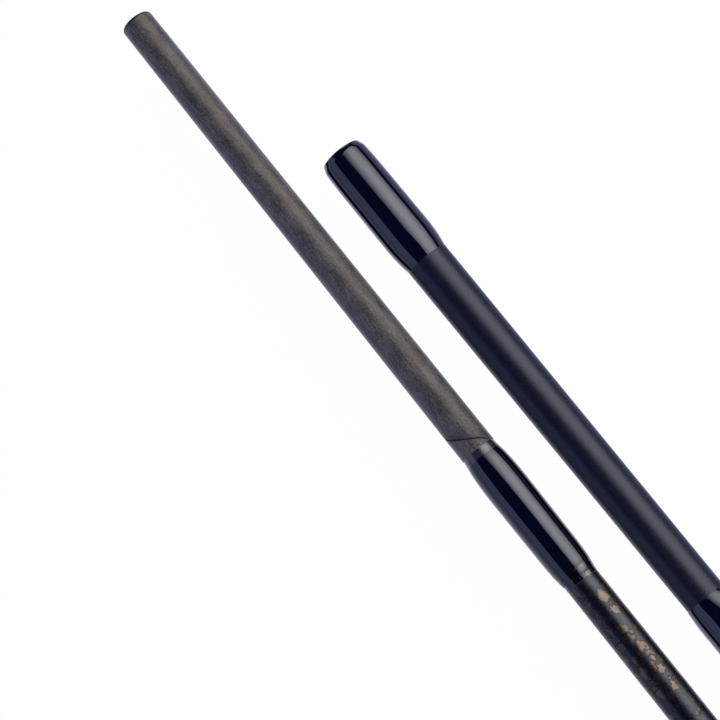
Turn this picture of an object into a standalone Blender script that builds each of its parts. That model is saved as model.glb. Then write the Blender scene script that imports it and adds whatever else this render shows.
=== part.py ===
"""Two-piece drop shot rod, taken apart, with the tip section lying beside the butt section.

Metres, +Z up. +X runs along the butt section, from its tenon to its butt cap. Each section is modelled in
a frame of its own: Z runs along its axis from its ferrule end, and X points to the side that carries the
guides.
"""

import math
from collections import namedtuple

import bmesh
import bpy
from mathutils import Matrix, Vector

MM = 0.001

# Sections
ROD_LENGTH = 2100 * MM  # put together
FERRULE_OVERLAP = 88 * MM
SECTION_LENGTH = (ROD_LENGTH + FERRULE_OVERLAP) / 2

# Clearances
FIT = 0.05 * MM  # between pieces that are glued or bound together
RUNNING_FIT = 0.05 * MM  # between the tenon and the mouth when pushed home
SLIDE_FIT = 0.15 * MM  # between the seat and what moves on it
END_GAP = 0.3 * MM  # between pieces that stand end to end
MERGE = 0.001 * MM
CUT_PAST = 1 * MM  # how far a cutter runs past what it cuts

FRAME_MARK = 20 * MM  # drawn size of the empties
SHARP_ANGLE = math.radians(40)

# Sides of the turned pieces
ROD_SIDES = 24
GRIP_SIDES = 24
FINE_SIDES = 14
THREAD_SIDES = 12

# Steps along the rounded parts of a profile
WINDING_STEPS = 4
TIP_TOP_WINDING_STEPS = 2
GRIP_STEPS = 5
ROUND_STEPS = 2

# Butt blank and tenon
BUTT_BLANK_FORE_R = 2.76 * MM
BUTT_BLANK_REAR_R = 5.2 * MM
BUTT_WALL = 0.8 * MM
TENON_LENGTH = 96.6 * MM
TENON_END_R = 2.965 * MM
TENON_BASE_R = 3.25 * MM
TENON_CHAMFER = 0.6 * MM
TENON_CHAMFER_DEPTH = 0.08 * MM

# Butt ferrule whipping: its build is the thickness of thread and resin over the blank
TRIM_LENGTH = 1.4 * MM
TRIM_FORE_BUILD = 0.17 * MM
TRIM_REAR_BUILD = 0.32 * MM
BUTT_WHIP_LENGTH = 25.4 * MM
BUTT_WHIP_FORE_BUILD = 0.75 * MM
BUTT_WHIP_REAR_BUILD = 0.46 * MM
BUTT_WHIP_RISE = 6.5 * MM
BUTT_WHIP_FALL = 5.5 * MM
BUTT_WHIP_HIDDEN_RISE = 0.6 * MM  # part of the rise that the trim stands in for
TOE_BUILD = 0.08 * MM  # what is left of any winding where it ends

# Tip blank
TIP_BLANK_MOUTH_R = 3.975 * MM
TIP_BLANK_KNEE = 100 * MM
TIP_BLANK_KNEE_R = 3.73 * MM
TIP_BLANK_END_R = 0.85 * MM
TIP_BORE_LENGTH = 850 * MM
TIP_BORE_END_R = 0.9 * MM
MOUTH_BEVEL_LENGTH = 1.2 * MM
MOUTH_BEVEL_DEPTH = 0.35 * MM
TIP_WHIP_LENGTH = 24.2 * MM
TIP_WHIP_REAR_BUILD = 0.41 * MM
TIP_WHIP_FORE_BUILD = 0.58 * MM
TIP_WHIP_RISE = 6.5 * MM
TIP_WHIP_FALL = 6 * MM
TIP_WHIP_HIDDEN_RISE = 0.7 * MM  # cut off square at the mouth

# Handle
BUTT_CAP_R = 13 * MM
BUTT_CAP_LENGTH = 22 * MM
BUTT_CAP_ROUND = 4 * MM
BUTT_CAP_WALL = 4 * MM
CAP_RING_R = 12.7 * MM
CAP_RING_LENGTH = 4 * MM
REAR_GRIP_LENGTH = 110 * MM
REAR_GRIP_REAR_R = 12.4 * MM
REAR_GRIP_FORE_R = 9.2 * MM
GRIP_ROUND = 2 * MM
CHECK_LENGTH = 4 * MM
CHECK_HEIGHT = 3 * MM  # of a grip's end ring over the blank
CHECK_EDGE = 1 * MM  # of its thin end over the blank
SPLIT_LENGTH = 150 * MM  # bare blank between the two grips
MID_GRIP_LENGTH = 50 * MM
MID_GRIP_REAR_R = 8.8 * MM
MID_GRIP_FORE_R = 11.1 * MM
SEAT_RING_R = 11.4 * MM
SEAT_RING_LENGTH = 3 * MM

# Reel seat
SEAT_LENGTH = 120 * MM
SEAT_R = 9.2 * MM
SEAT_BORE_R = 6.9 * MM
BED_HEIGHT = 7.9 * MM  # flat for the reel foot, from the axis
BED_STEP = 0.2 * MM  # from the bed down to the flat that the hoods run over
THREAD_LENGTH = 48 * MM
THREAD_PITCH = 4 * MM
THREAD_DEPTH = 0.6 * MM
THREAD_FOOT = 2.6 * MM  # width of the ridge at its foot
THREAD_CREST = 0.6 * MM
THREAD_SUNK = 0.35 * MM
ARBOR_LENGTH = 26 * MM
ARBOR_INSET = 8 * MM
HOOD_LENGTH = 20 * MM
HOOD_STRAIGHT = 14 * MM
HOOD_BAND_R = 10.3 * MM
HOOD_R = 11.9 * MM
HOOD_SHIFT = 2.1 * MM  # of the hood's round towards the reel foot
HOOD_WALL = 0.9 * MM
HOOD_POCKET = 13 * MM  # ends where the hood is still straight
HOOD_EDGE = 0.7 * MM
FIXED_HOOD_INSET = 4 * MM
HOOD_OPEN_INSET = 24 * MM  # from the seat's fore end to the sliding hood, fully open
NUT_FLANGE_R = 11.4 * MM
NUT_FLANGE_LENGTH = 8 * MM
NUT_EDGE = 0.8 * MM
NUT_SLEEVE_R = 10 * MM
NUT_SLEEVE_LENGTH = 33 * MM
FORE_GRIP_LENGTH = 32 * MM
FORE_GRIP_REAR_R = 12.4 * MM
FORE_GRIP_FORE_R = 11 * MM
FORE_CHECK_LENGTH = 9 * MM
FORE_CHECK_R = 7.6 * MM
FORE_CHECK_RIM = 0.8 * MM

# Hook keeper
KEEPER_AHEAD = 60 * MM  # of the seat's fore end
KEEPER_SPAN = 12 * MM
KEEPER_RISE = 6.2 * MM
KEEPER_WIRE_R = 0.5 * MM
KEEPER_FOOT = 6 * MM
KEEPER_SQUARENESS = 0.6  # 1 would be a plain half wave
KEEPER_STEPS = 8

# Line guides
BAND_WALL = 0.75 * MM
BAND_LENGTH = 1.6 * MM
RING_PROUD = 0.35 * MM  # of the hard ring out of each face of its band
BARE_FOOT = 1.2 * MM  # of a foot, between its legs and its whipping
FOOT_OVERHANG = 2.5 * MM  # of the whipping, past the end of a foot
WHIP_TOP = 0.45 * MM  # thread and resin over a foot
WHIP_BACK = 0.24 * MM  # and on the far side of the blank
WHIP_NEAR_SHARE = 0.8  # of its full height where a whipping starts on a foot
WHIP_TAIL_SHARE = 0.6  # and halfway down its tail
LEG_SPREAD = math.radians(52)  # where a leg leaves the band, from the side nearest the blank
LEG_BEND = 0.7  # how far down a leg its bend is
FOOT_SUNK = 0.1 * MM  # ground off the wire to flatten a foot
FOOT_WIDTH = 3.2  # of a foot where it starts, in wire radii
STRIPPER_AT = 265 * MM  # from the tenon's end
STRIPPER_RING_R = 9.2 * MM
STRIPPER_RING_SECTION = 1.3 * MM
STRIPPER_HEIGHT = 24 * MM
STRIPPER_WIRE_R = 0.85 * MM
STRIPPER_FOOT = 13 * MM
STRIPPER_REACH = 15 * MM  # from the ring's middle to the near end of a foot
GUIDE_2_WHIP_START = 97.4 * MM  # from the mouth
GUIDE_2_RING_R = 6.4 * MM
GUIDE_2_RING_SECTION = 1.1 * MM
GUIDE_2_WIRE_R = 0.65 * MM
GUIDE_2_FOOT = 10.5 * MM
GUIDE_2_REACH = 8.5 * MM
# Single-foot guides: distance from the mouth, radius of the hard ring, height of its middle over the axis
SINGLE_GUIDES = (
    (262 * MM, 4.4 * MM, 11.6 * MM),
    (410 * MM, 3.4 * MM, 9.2 * MM),
    (556 * MM, 2.9 * MM, 7.8 * MM),
    (694 * MM, 2.75 * MM, 6.9 * MM),
    (822 * MM, 2.6 * MM, 6.2 * MM),
)
SINGLE_RING_SECTION = 0.8 * MM
SINGLE_WIRE_R = 0.45 * MM
SINGLE_FOOT = 7.5 * MM
SINGLE_REACH = 4.5 * MM
TIP_TOP_RING_R = 2.5 * MM
TIP_TOP_HEIGHT = 3.4 * MM
TIP_TOP_AHEAD = 3.4 * MM  # of the blank's end
TIP_TOP_TUBE = 9 * MM
TIP_TOP_TUBE_WALL = 0.3 * MM
TIP_TOP_TUBE_END = 0.8 * MM
TIP_TOP_WIRE_R = 0.42 * MM
TIP_TOP_WHIP = 6 * MM
TIP_TOP_WHIP_BUILD = 0.4 * MM

# How the two sections lie
MOUTH_BEHIND_TENON_END = 41.3 * MM
MOUTH_SPACING = 13.58 * MM
SPREAD = math.radians(0.491)
LINED_UP_GAP = 12 * MM  # from the mouth to the tenon once the tip section is turned end for end
TIP_ROLL = math.radians(72.5)  # of the tip section's guides, from straight down

# What a line guide is made from: at is where its ring stands, from the section's ferrule end
Guide = namedtuple("Guide", "name at ring_r section height wire_r foot reach sides")

# Looks: name, colour, roughness, metallic
PATTERNED = ("patterned blank", (0.020, 0.018, 0.017), 0.2, 0.0)
BARE_CARBON = ("bare carbon", (0.075, 0.072, 0.072), 0.55, 0.0)
GLOSS_RESIN = ("gloss black whipping", (0.006, 0.007, 0.012), 0.08, 0.0)
TRIM_THREAD = ("dark trim thread", (0.030, 0.022, 0.034), 0.15, 0.0)
MATT_BLANK = ("matt black blank", (0.020, 0.022, 0.027), 0.5, 0.0)
FOAM = ("black foam", (0.018, 0.018, 0.019), 0.9, 0.0)
RUBBER = ("black rubber", (0.012, 0.012, 0.013), 0.7, 0.0)
GUNMETAL = ("gunmetal", (0.16, 0.16, 0.17), 0.3, 1.0)
SEAT_PLASTIC = ("matt black seat", (0.015, 0.015, 0.017), 0.45, 0.0)
ARBOR_FOAM = ("grey arbor", (0.30, 0.30, 0.29), 0.8, 0.0)
FRAME_METAL = ("black guide frame", (0.03, 0.03, 0.033), 0.3, 1.0)
HARD_RING = ("dark guide ring", (0.03, 0.032, 0.038), 0.12, 0.0)


def clear_scene():
    for obj in list(bpy.data.objects):
        bpy.data.objects.remove(obj, do_unlink=True)


def new_collection(name, hidden=False):
    collection = bpy.data.collections.new(name)
    collection.hide_render = hidden
    bpy.context.scene.collection.children.link(collection)
    return collection


def material(look):
    name, colour, roughness, metallic = look
    found = bpy.data.materials.get(name)
    if found:
        return found
    made = bpy.data.materials.new(name)
    made.use_nodes = True
    shader = made.node_tree.nodes["Principled BSDF"]
    shader.inputs["Base Color"].default_value = (*colour, 1.0)
    shader.inputs["Roughness"].default_value = roughness
    shader.inputs["Metallic"].default_value = metallic
    made.diffuse_color = (*colour, 1.0)
    return made


def place(name, mesh, look, frame):
    """Puts a mesh in a frame, as a piece of the rod, or as a hidden helper when it has no look."""
    obj = bpy.data.objects.new(name, mesh)
    obj.parent = frame
    if look is None:
        bpy.data.collections["Cutters"].objects.link(obj)
        obj.hide_render = True
        obj.display_type = "WIRE"
        return obj
    bpy.data.collections["Drop shot rod"].objects.link(obj)
    mesh.materials.append(material(look))
    return obj


def new_frame(name, matrix, parent=None):
    empty = bpy.data.objects.new(name, None)
    empty.empty_display_size = FRAME_MARK
    bpy.data.collections["Drop shot rod"].objects.link(empty)
    empty.parent = parent
    empty.matrix_local = matrix
    return empty


def axes_at(origin, along, guide_side):
    """The matrix of a frame whose Z runs along a section and whose X points to its guides."""
    side = (guide_side - guide_side.dot(along) * along).normalized()
    turned_to = Matrix((side, along.cross(side), along)).transposed()
    return Matrix.Translation(origin) @ turned_to.to_4x4()


def corner_radius(radius, gap, sides):
    """The corner radius of a many-sided bore whose flats clear a round of this radius by the gap."""
    return (radius + gap) / math.cos(math.pi / sides)


def add_screw(obj, sides):
    screw = obj.modifiers.new("Turn", "SCREW")
    screw.steps = sides
    screw.render_steps = sides
    screw.use_merge_vertices = True
    screw.merge_threshold = MERGE
    screw.use_smooth_shade = True
    return screw


def closed_mesh(obj):
    """The object's evaluated shape as a closed mesh that can be joined. The object is removed."""
    bpy.context.view_layer.update()
    mesh = bpy.data.meshes.new_from_object(obj.evaluated_get(bpy.context.evaluated_depsgraph_get()))
    bpy.data.objects.remove(obj, do_unlink=True)
    shape = bmesh.new()
    shape.from_mesh(mesh)
    bmesh.ops.remove_doubles(shape, verts=shape.verts, dist=MERGE)
    bmesh.ops.holes_fill(shape, edges=shape.edges)
    bmesh.ops.recalc_face_normals(shape, faces=shape.faces)
    bmesh.ops.triangulate(shape, faces=shape.faces)
    shape.to_mesh(mesh)
    shape.free()
    return mesh


def hugging(blank_r, places, sides):
    """The bore of a piece that is bound on a blank."""
    return [(z, corner_radius(blank_r(z), FIT, sides)) for z in places]


def turned(name, outer, bore, sides, look, frame, shift=0.0, blind=False):
    """A turned piece. outer and bore are (z, radius) points with z rising, and a blind bore ends inside.

    With no bore it is solid, and shift moves its axis to the guide side.
    """
    loop = [(radius, z) for z, radius in reversed(outer)] + [(radius, z) for z, radius in bore]
    if blind or not bore:
        loop.insert(0, (0.0, outer[-1][0]))
        loop.append((0.0, loop[-1][1]))
    edges = [(i, i + 1) for i in range(len(loop) - 1)]
    if bore and not blind:
        edges.append((len(loop) - 1, 0))
    mesh = bpy.data.meshes.new(name)
    mesh.from_pydata([(radius, 0, z) for radius, z in loop], edges, [])
    obj = place(name, mesh, look, frame)
    obj.location.x = shift
    add_screw(obj, sides)
    return obj


def sleeve(name, blank_r, outer, sides, look, frame):
    """A turned piece that is bound on a blank."""
    return turned(name, outer, hugging(blank_r, (outer[0][0], outer[-1][0]), sides), sides, look, frame)


def lofted(name, rings, closed, sides, look, frame):
    """Round rings (z, radius, shift to the guide side) joined in order, and if closed last to first."""
    points = [
        (shift + radius * math.cos(turn), radius * math.sin(turn), z)
        for z, radius, shift in rings
        for turn in (2 * math.pi * i / sides for i in range(sides))
    ]
    faces = []
    for k in range(len(rings) if closed else len(rings) - 1):
        here, there = k * sides, (k + 1) % len(rings) * sides
        for i in range(sides):
            j = (i + 1) % sides
            faces.append((here + i, here + j, there + j, there + i))
    if not closed:
        faces.append(tuple(range(sides - 1, -1, -1)))
        faces.append(tuple(range(len(points) - sides, len(points))))
    mesh = bpy.data.meshes.new(name)
    mesh.from_pydata(points, [], faces)
    mesh.shade_smooth()
    mesh.set_sharp_from_angle(angle=SHARP_ANGLE)
    return place(name, mesh, look, frame)


def tapered_block(name, low, high, frame, look=None):
    """A block between two upright rectangles: low and high are (z, base, top, half width)."""
    shape = bmesh.new()
    bmesh.ops.create_cube(shape, size=2)
    for corner in shape.verts:
        z, base, top, half = high if corner.co.z > 0 else low
        corner.co = (top if corner.co.x > 0 else base, half * corner.co.y, z)
    mesh = bpy.data.meshes.new(name)
    shape.to_mesh(mesh)
    shape.free()
    return place(name, mesh, look, frame)


def wire(name, points, radius, frame, look=None):
    """A bent wire through the points, made a mesh so that it can be joined."""
    curve = bpy.data.curves.new(name, "CURVE")
    curve.dimensions = "3D"
    curve.bevel_depth = radius
    curve.bevel_resolution = 1
    curve.use_fill_caps = True
    spline = curve.splines.new("POLY")
    spline.points.add(len(points) - 1)
    for point, co in zip(spline.points, points):
        point.co = (*co, 1.0)
    drawn = bpy.data.objects.new(name, curve)
    bpy.data.collections["Cutters"].objects.link(drawn)
    return place(name, closed_mesh(drawn), look, frame)


def gathered(name, helpers, frame):
    """Several hidden helpers as one, so that they are joined in a single step."""
    shape = bmesh.new()
    for helper in helpers:
        shape.from_mesh(helper.data)
        bpy.data.objects.remove(helper, do_unlink=True)
    mesh = bpy.data.meshes.new(name)
    shape.to_mesh(mesh)
    shape.free()
    return place(name, mesh, None, frame)


def combine(obj, operation, *others):
    for other in others:
        boolean = obj.modifiers.new(operation.title(), "BOOLEAN")
        boolean.operation = operation
        boolean.solver = "EXACT"
        boolean.use_self = True
        boolean.object = other


def toe_r(blank_r, z, sides):
    """The least radius of a winding that is bound on a blank."""
    return corner_radius(blank_r(z), FIT, sides) + TOE_BUILD


def straight(start, end, start_value, end_value, z):
    return start_value + (end_value - start_value) * (z - start) / (end - start)


def butt_blank_r(z):
    return straight(0, SECTION_LENGTH, BUTT_BLANK_FORE_R, BUTT_BLANK_REAR_R, z)


def tenon_r(z):
    return straight(0, TENON_LENGTH, TENON_END_R, TENON_BASE_R, z)


def tip_blank_r(z):
    if z < TIP_BLANK_KNEE:
        return straight(0, TIP_BLANK_KNEE, TIP_BLANK_MOUTH_R, TIP_BLANK_KNEE_R, z)
    return straight(TIP_BLANK_KNEE, SECTION_LENGTH, TIP_BLANK_KNEE_R, TIP_BLANK_END_R, z)


def arc_shares(steps):
    """(how far along, how high) up a quarter of an ellipse."""
    turns = [math.pi / 2 * i / steps for i in range(steps + 1)]
    return [(1 - math.cos(turn), math.sin(turn)) for turn in turns]


def winding(
    blank_r, start, length, first, last, rise, fall, hidden=0.0, steps=WINDING_STEPS, sides=ROD_SIDES
):
    """(z, radius) points of a resin-coated winding: it rounds up over rise and rounds off over fall.

    Its build goes from first to last, and hidden is the part of the rise that is left off at the start.
    """
    total = length + hidden
    shares = [(rise * along, high) for along, high in arc_shares(steps)]
    shares += [(total - fall * along, high) for along, high in reversed(arc_shares(steps))]
    rising = math.sqrt(max(0.0, 1 - (1 - hidden / rise) ** 2))
    shares = [(hidden, rising)] + [share for share in shares if share[0] > hidden]
    points = []
    for z, high in shares:
        at = start + z - hidden
        build = high * straight(0, total, first, last, z)
        points.append((at, max(blank_r(at) + build, toe_r(blank_r, at, sides))))
    return points


def make_butt_blank(frame):
    end = SECTION_LENGTH - BUTT_CAP_WALL
    outer = [(z, butt_blank_r(z)) for z in (0, end)]
    bore = [(z, radius - BUTT_WALL) for z, radius in outer]
    turned("butt_blank", outer, bore, ROD_SIDES, PATTERNED, frame)


def make_tenon_sleeve(frame):
    outer = [
        (0, tenon_r(0) - TENON_CHAMFER_DEPTH),
        (TENON_CHAMFER / 3, tenon_r(0) - TENON_CHAMFER_DEPTH / 3),
        (TENON_CHAMFER, tenon_r(TENON_CHAMFER)),
        (TENON_LENGTH, TENON_BASE_R),
    ]
    sleeve("tenon_sleeve", butt_blank_r, outer, ROD_SIDES, BARE_CARBON, frame)


def make_butt_ferrule_whipping(frame):
    start = TENON_LENGTH + FIT
    end = start + TRIM_LENGTH
    outer = [(start, butt_blank_r(start) + TRIM_FORE_BUILD), (end, butt_blank_r(end) + TRIM_REAR_BUILD)]
    sleeve("butt_ferrule_trim", butt_blank_r, outer, ROD_SIDES, TRIM_THREAD, frame)
    outer = winding(
        butt_blank_r,
        end + FIT,
        BUTT_WHIP_LENGTH,
        BUTT_WHIP_FORE_BUILD,
        BUTT_WHIP_REAR_BUILD,
        BUTT_WHIP_RISE,
        BUTT_WHIP_FALL,
        BUTT_WHIP_HIDDEN_RISE,
    )
    sleeve("butt_ferrule_whipping", butt_blank_r, outer, ROD_SIDES, GLOSS_RESIN, frame)


def make_tip_blank(frame):
    outer = [
        (0, tip_blank_r(0) - MOUTH_BEVEL_DEPTH),
        (MOUTH_BEVEL_LENGTH, tip_blank_r(MOUTH_BEVEL_LENGTH)),
        (TIP_BLANK_KNEE, TIP_BLANK_KNEE_R),
        (SECTION_LENGTH, TIP_BLANK_END_R),
    ]
    bore = [
        (0, corner_radius(tenon_r(FERRULE_OVERLAP), RUNNING_FIT, ROD_SIDES)),
        (FERRULE_OVERLAP, corner_radius(tenon_r(0), RUNNING_FIT, ROD_SIDES)),
        (TIP_BORE_LENGTH, TIP_BORE_END_R),
    ]
    turned("tip_blank", outer, bore, ROD_SIDES, MATT_BLANK, frame, blind=True)


def make_tip_ferrule_whipping(frame):
    outer = winding(
        tip_blank_r,
        0,
        TIP_WHIP_LENGTH,
        TIP_WHIP_REAR_BUILD,
        TIP_WHIP_FORE_BUILD,
        TIP_WHIP_RISE,
        TIP_WHIP_FALL,
        TIP_WHIP_HIDDEN_RISE,
    )
    outer[0] = (0, outer[0][1] - MOUTH_BEVEL_DEPTH / 2)
    bore = hugging(tip_blank_r, (0, MOUTH_BEVEL_LENGTH, TIP_WHIP_LENGTH), ROD_SIDES)
    bore[0] = (0, bore[0][1] - MOUTH_BEVEL_DEPTH)
    turned("tip_ferrule_whipping", outer, bore, ROD_SIDES, GLOSS_RESIN, frame)


def foot_whipping(name, blank_r, near, foot_end, foot_height, foot_half, frame):
    """A winding over a foot that starts at near, on the guide's side, and runs on past the foot's end."""
    onward = 1 if foot_end > near else -1
    # where it stands, and the share of its full height there
    stations = (
        (near, WHIP_NEAR_SHARE),
        (near + onward * WHIP_TOP, 1.0),
        (foot_end, 1.0),
        (foot_end + onward * FOOT_OVERHANG / 2, WHIP_TAIL_SHARE),
        (foot_end + onward * FOOT_OVERHANG, 0.0),
    )
    rings = []
    for z, share in sorted(stations):
        thin = toe_r(blank_r, z, FINE_SIDES)
        low = thin + share * (WHIP_BACK - TOE_BUILD)
        top = thin + share * (foot_height + WHIP_TOP - TOE_BUILD)
        rings.append((z, (top + low) / 2, (top - low) / 2))
    ends = (rings[-1][0], rings[0][0])
    rings += [(z, radius, 0.0) for z, radius in hugging(blank_r, ends, FINE_SIDES)]
    whipping = lofted(name, rings, True, FINE_SIDES, GLOSS_RESIN, frame)
    roof = max(blank_r(near), blank_r(foot_end)) + foot_height + 2 * FIT
    half = foot_half + FIT
    reach = [(near - onward * CUT_PAST, 0, roof, half), (foot_end + onward * FIT, 0, roof, half)]
    combine(whipping, "DIFFERENCE", tapered_block(name + " channel", *sorted(reach), frame))
    return whipping


def make_ring(guide, frame):
    """The hard ring that the line runs through."""
    half = BAND_LENGTH / 2
    thin = guide.ring_r - guide.section / 2
    inside = guide.ring_r - guide.section
    outer = [
        (guide.at - half - RING_PROUD, thin),
        (guide.at - half, guide.ring_r),
        (guide.at + half, guide.ring_r),
        (guide.at + half + RING_PROUD, thin),
    ]
    bore = [(guide.at - half / 2, inside), (guide.at + half / 2, inside)]
    turned(guide.name + "_ring", outer, bore, guide.sides, HARD_RING, frame, guide.height)


def band_disc(guide, name, look, frame):
    """What becomes the band of a guide's frame once the hard ring's seat is cut through it."""
    half = BAND_LENGTH / 2
    outer = [(guide.at + z, guide.ring_r + FIT + BAND_WALL) for z in (-half, half)]
    return turned(name, outer, [], guide.sides, look, frame, guide.height)


def cut_ring_seat(guide, body, frame):
    half = BAND_LENGTH / 2 + RING_PROUD + END_GAP
    seat_r = corner_radius(guide.ring_r, FIT, guide.sides)
    outer = [(guide.at + z, seat_r) for z in (-half, half)]
    seat = turned(guide.name + " ring seat", outer, [], guide.sides, None, frame, guide.height)
    combine(body, "DIFFERENCE", seat)


def band_side(guide, side, hand):
    """Where a leg leaves the band: side is 1 or -1 along the blank, and hand 1 or -1 across it."""
    middle_r = guide.ring_r + FIT + BAND_WALL / 2
    x = guide.height - middle_r * math.cos(LEG_SPREAD)
    return x, hand * middle_r * math.sin(LEG_SPREAD), guide.at + side * BAND_LENGTH / 4


def make_guide(guide, blank_r, whippings, frame):
    """A line guide. whippings gives each foot's side, 1 or -1 along the blank, and its whipping's name."""
    name = guide.name + "_frame"
    body = band_disc(guide, name, FRAME_METAL, frame)
    foot_height = 2 * guide.wire_r - FOOT_SUNK
    foot_half = FOOT_WIDTH / 2 * guide.wire_r
    helpers = []
    for side, whipping in whippings:
        near = guide.at + side * guide.reach
        far = near + side * guide.foot
        base = max(blank_r(near), blank_r(far)) + FIT
        strong = (near - side * guide.wire_r, base, base + foot_height, foot_half)
        thin = (far, base, base + foot_height / 2, foot_half / 2)
        helpers.append(tapered_block(name + " foot", *sorted((strong, thin)), frame))
        for hand in (-1, 1):
            leave = band_side(guide, side, hand)
            land = (base + guide.wire_r, hand * (foot_half - guide.wire_r), near + side * guide.wire_r / 2)
            x, y, z = (a + LEG_BEND * (b - a) for a, b in zip(leave, land))
            helpers.append(wire(name + " leg", (leave, (x, y * LEG_BEND, z), land), guide.wire_r, frame))
        foot_whipping(whipping, blank_r, near + side * BARE_FOOT, far, foot_height, foot_half, frame)
    combine(body, "UNION", gathered(name + " legs", helpers, frame))
    cut_ring_seat(guide, body, frame)
    make_ring(guide, frame)


def stripper_roll():
    """The angle from straight down at which the largest guide and the butt cap touch the same floor."""
    return math.acos((BUTT_CAP_R - STRIPPER_RING_R - FIT - BAND_WALL) / STRIPPER_HEIGHT)


def make_stripper(frame):
    guide = Guide(
        name="stripper_guide",
        at=STRIPPER_AT,
        ring_r=STRIPPER_RING_R,
        section=STRIPPER_RING_SECTION,
        height=STRIPPER_HEIGHT,
        wire_r=STRIPPER_WIRE_R,
        foot=STRIPPER_FOOT,
        reach=STRIPPER_REACH,
        sides=GRIP_SIDES,
    )
    make_guide(guide, butt_blank_r, ((-1, "stripper_whipping_fore"), (1, "stripper_whipping_rear")), frame)


def make_hook_keeper(frame, seat_fore):
    middle = seat_fore - KEEPER_AHEAD
    half = KEEPER_SPAN / 2
    axis_r = butt_blank_r(middle + half + KEEPER_FOOT) + FIT + KEEPER_WIRE_R
    points = [(axis_r, 0, middle - half - KEEPER_FOOT)]
    for i in range(KEEPER_STEPS + 1):
        turn = math.pi * i / KEEPER_STEPS
        # the sine is flattened, so that the loop keeps its width up to the top
        rise = KEEPER_RISE * math.sin(turn) ** KEEPER_SQUARENESS
        points.append((axis_r + rise, 0, middle - half * math.cos(turn)))
    points.append((axis_r, 0, middle + half + KEEPER_FOOT))
    wire("hook_keeper", points, KEEPER_WIRE_R, frame, FRAME_METAL)
    for side, whipping in ((-1, "hook_keeper_whipping_fore"), (1, "hook_keeper_whipping_rear")):
        near = middle + side * (half + BARE_FOOT)
        foot_end = middle + side * (half + KEEPER_FOOT)
        height = axis_r + KEEPER_WIRE_R - butt_blank_r(foot_end)
        foot_whipping(whipping, butt_blank_r, near, foot_end, height, KEEPER_WIRE_R, frame)


def round_end(z, radius, size, towards):
    """(z, radius) points that round an edge: z is the end face and towards the way out of the piece."""
    points = []
    for i in range(ROUND_STEPS + 1):
        turn = math.pi / 2 * i / ROUND_STEPS
        points.append((z - towards * size * (1 - math.sin(turn)), radius - size * (1 - math.cos(turn))))
    return points if towards > 0 else list(reversed(points))


def make_grip(name, start, length, fore_r, rear_r, frame):
    """A foam grip on the blank; it swells from fore_r to rear_r on an S-curve."""
    outer = round_end(start, fore_r, GRIP_ROUND, -1)
    for i in range(1, GRIP_STEPS):
        share = i / GRIP_STEPS
        ease = share * share * (3 - 2 * share)
        outer.append((start + length * share, fore_r + (rear_r - fore_r) * ease))
    outer += round_end(start + length, rear_r, GRIP_ROUND, 1)
    return sleeve(name, butt_blank_r, outer, GRIP_SIDES, FOAM, frame)


def make_check(name, start, frame):
    """The metal ring at the fore end of a grip."""
    end = start + CHECK_LENGTH
    rim = butt_blank_r(end) + CHECK_HEIGHT
    outer = [(start, butt_blank_r(start) + CHECK_EDGE), (start + CHECK_LENGTH / 2, rim), (end, rim)]
    sleeve(name, butt_blank_r, outer, ROD_SIDES, GUNMETAL, frame)


def make_handle(frame):
    """Everything behind the reel seat, from the butt cap forward. Returns where the seat's rear end is."""
    cap_start = SECTION_LENGTH - BUTT_CAP_LENGTH
    outer = [(cap_start, BUTT_CAP_R), *round_end(SECTION_LENGTH, BUTT_CAP_R, BUTT_CAP_ROUND, 1)]
    bottom = SECTION_LENGTH - BUTT_CAP_WALL + END_GAP
    bore = hugging(butt_blank_r, (cap_start, bottom), GRIP_SIDES)
    turned("butt_cap", outer, bore, GRIP_SIDES, RUBBER, frame, blind=True)
    ring_start = cap_start - END_GAP - CAP_RING_LENGTH
    outer = [(ring_start, CAP_RING_R), (ring_start + CAP_RING_LENGTH, CAP_RING_R)]
    sleeve("butt_cap_ring", butt_blank_r, outer, GRIP_SIDES, GUNMETAL, frame)
    grip_start = ring_start - END_GAP - REAR_GRIP_LENGTH
    make_grip("rear_grip", grip_start, REAR_GRIP_LENGTH, REAR_GRIP_FORE_R, REAR_GRIP_REAR_R, frame)
    make_check("rear_grip_check", grip_start - END_GAP - CHECK_LENGTH, frame)
    mid_end = grip_start - END_GAP - CHECK_LENGTH - SPLIT_LENGTH
    # the mid grip's end ring faces the butt, so it is the fore ring turned round
    rim = butt_blank_r(mid_end) + CHECK_HEIGHT
    thin_end = (mid_end, butt_blank_r(mid_end) + CHECK_EDGE)
    ring_start = mid_end - CHECK_LENGTH
    outer = [(ring_start, rim), (mid_end - CHECK_LENGTH / 2, rim), thin_end]
    sleeve("mid_grip_check", butt_blank_r, outer, ROD_SIDES, GUNMETAL, frame)
    grip_start = ring_start - END_GAP - MID_GRIP_LENGTH
    make_grip("mid_grip", grip_start, MID_GRIP_LENGTH, MID_GRIP_FORE_R, MID_GRIP_REAR_R, frame)
    ring_start = grip_start - END_GAP - SEAT_RING_LENGTH
    outer = [(ring_start, SEAT_RING_R), (ring_start + SEAT_RING_LENGTH, SEAT_RING_R)]
    sleeve("seat_rear_ring", butt_blank_r, outer, GRIP_SIDES, GUNMETAL, frame)
    return ring_start - END_GAP


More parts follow.
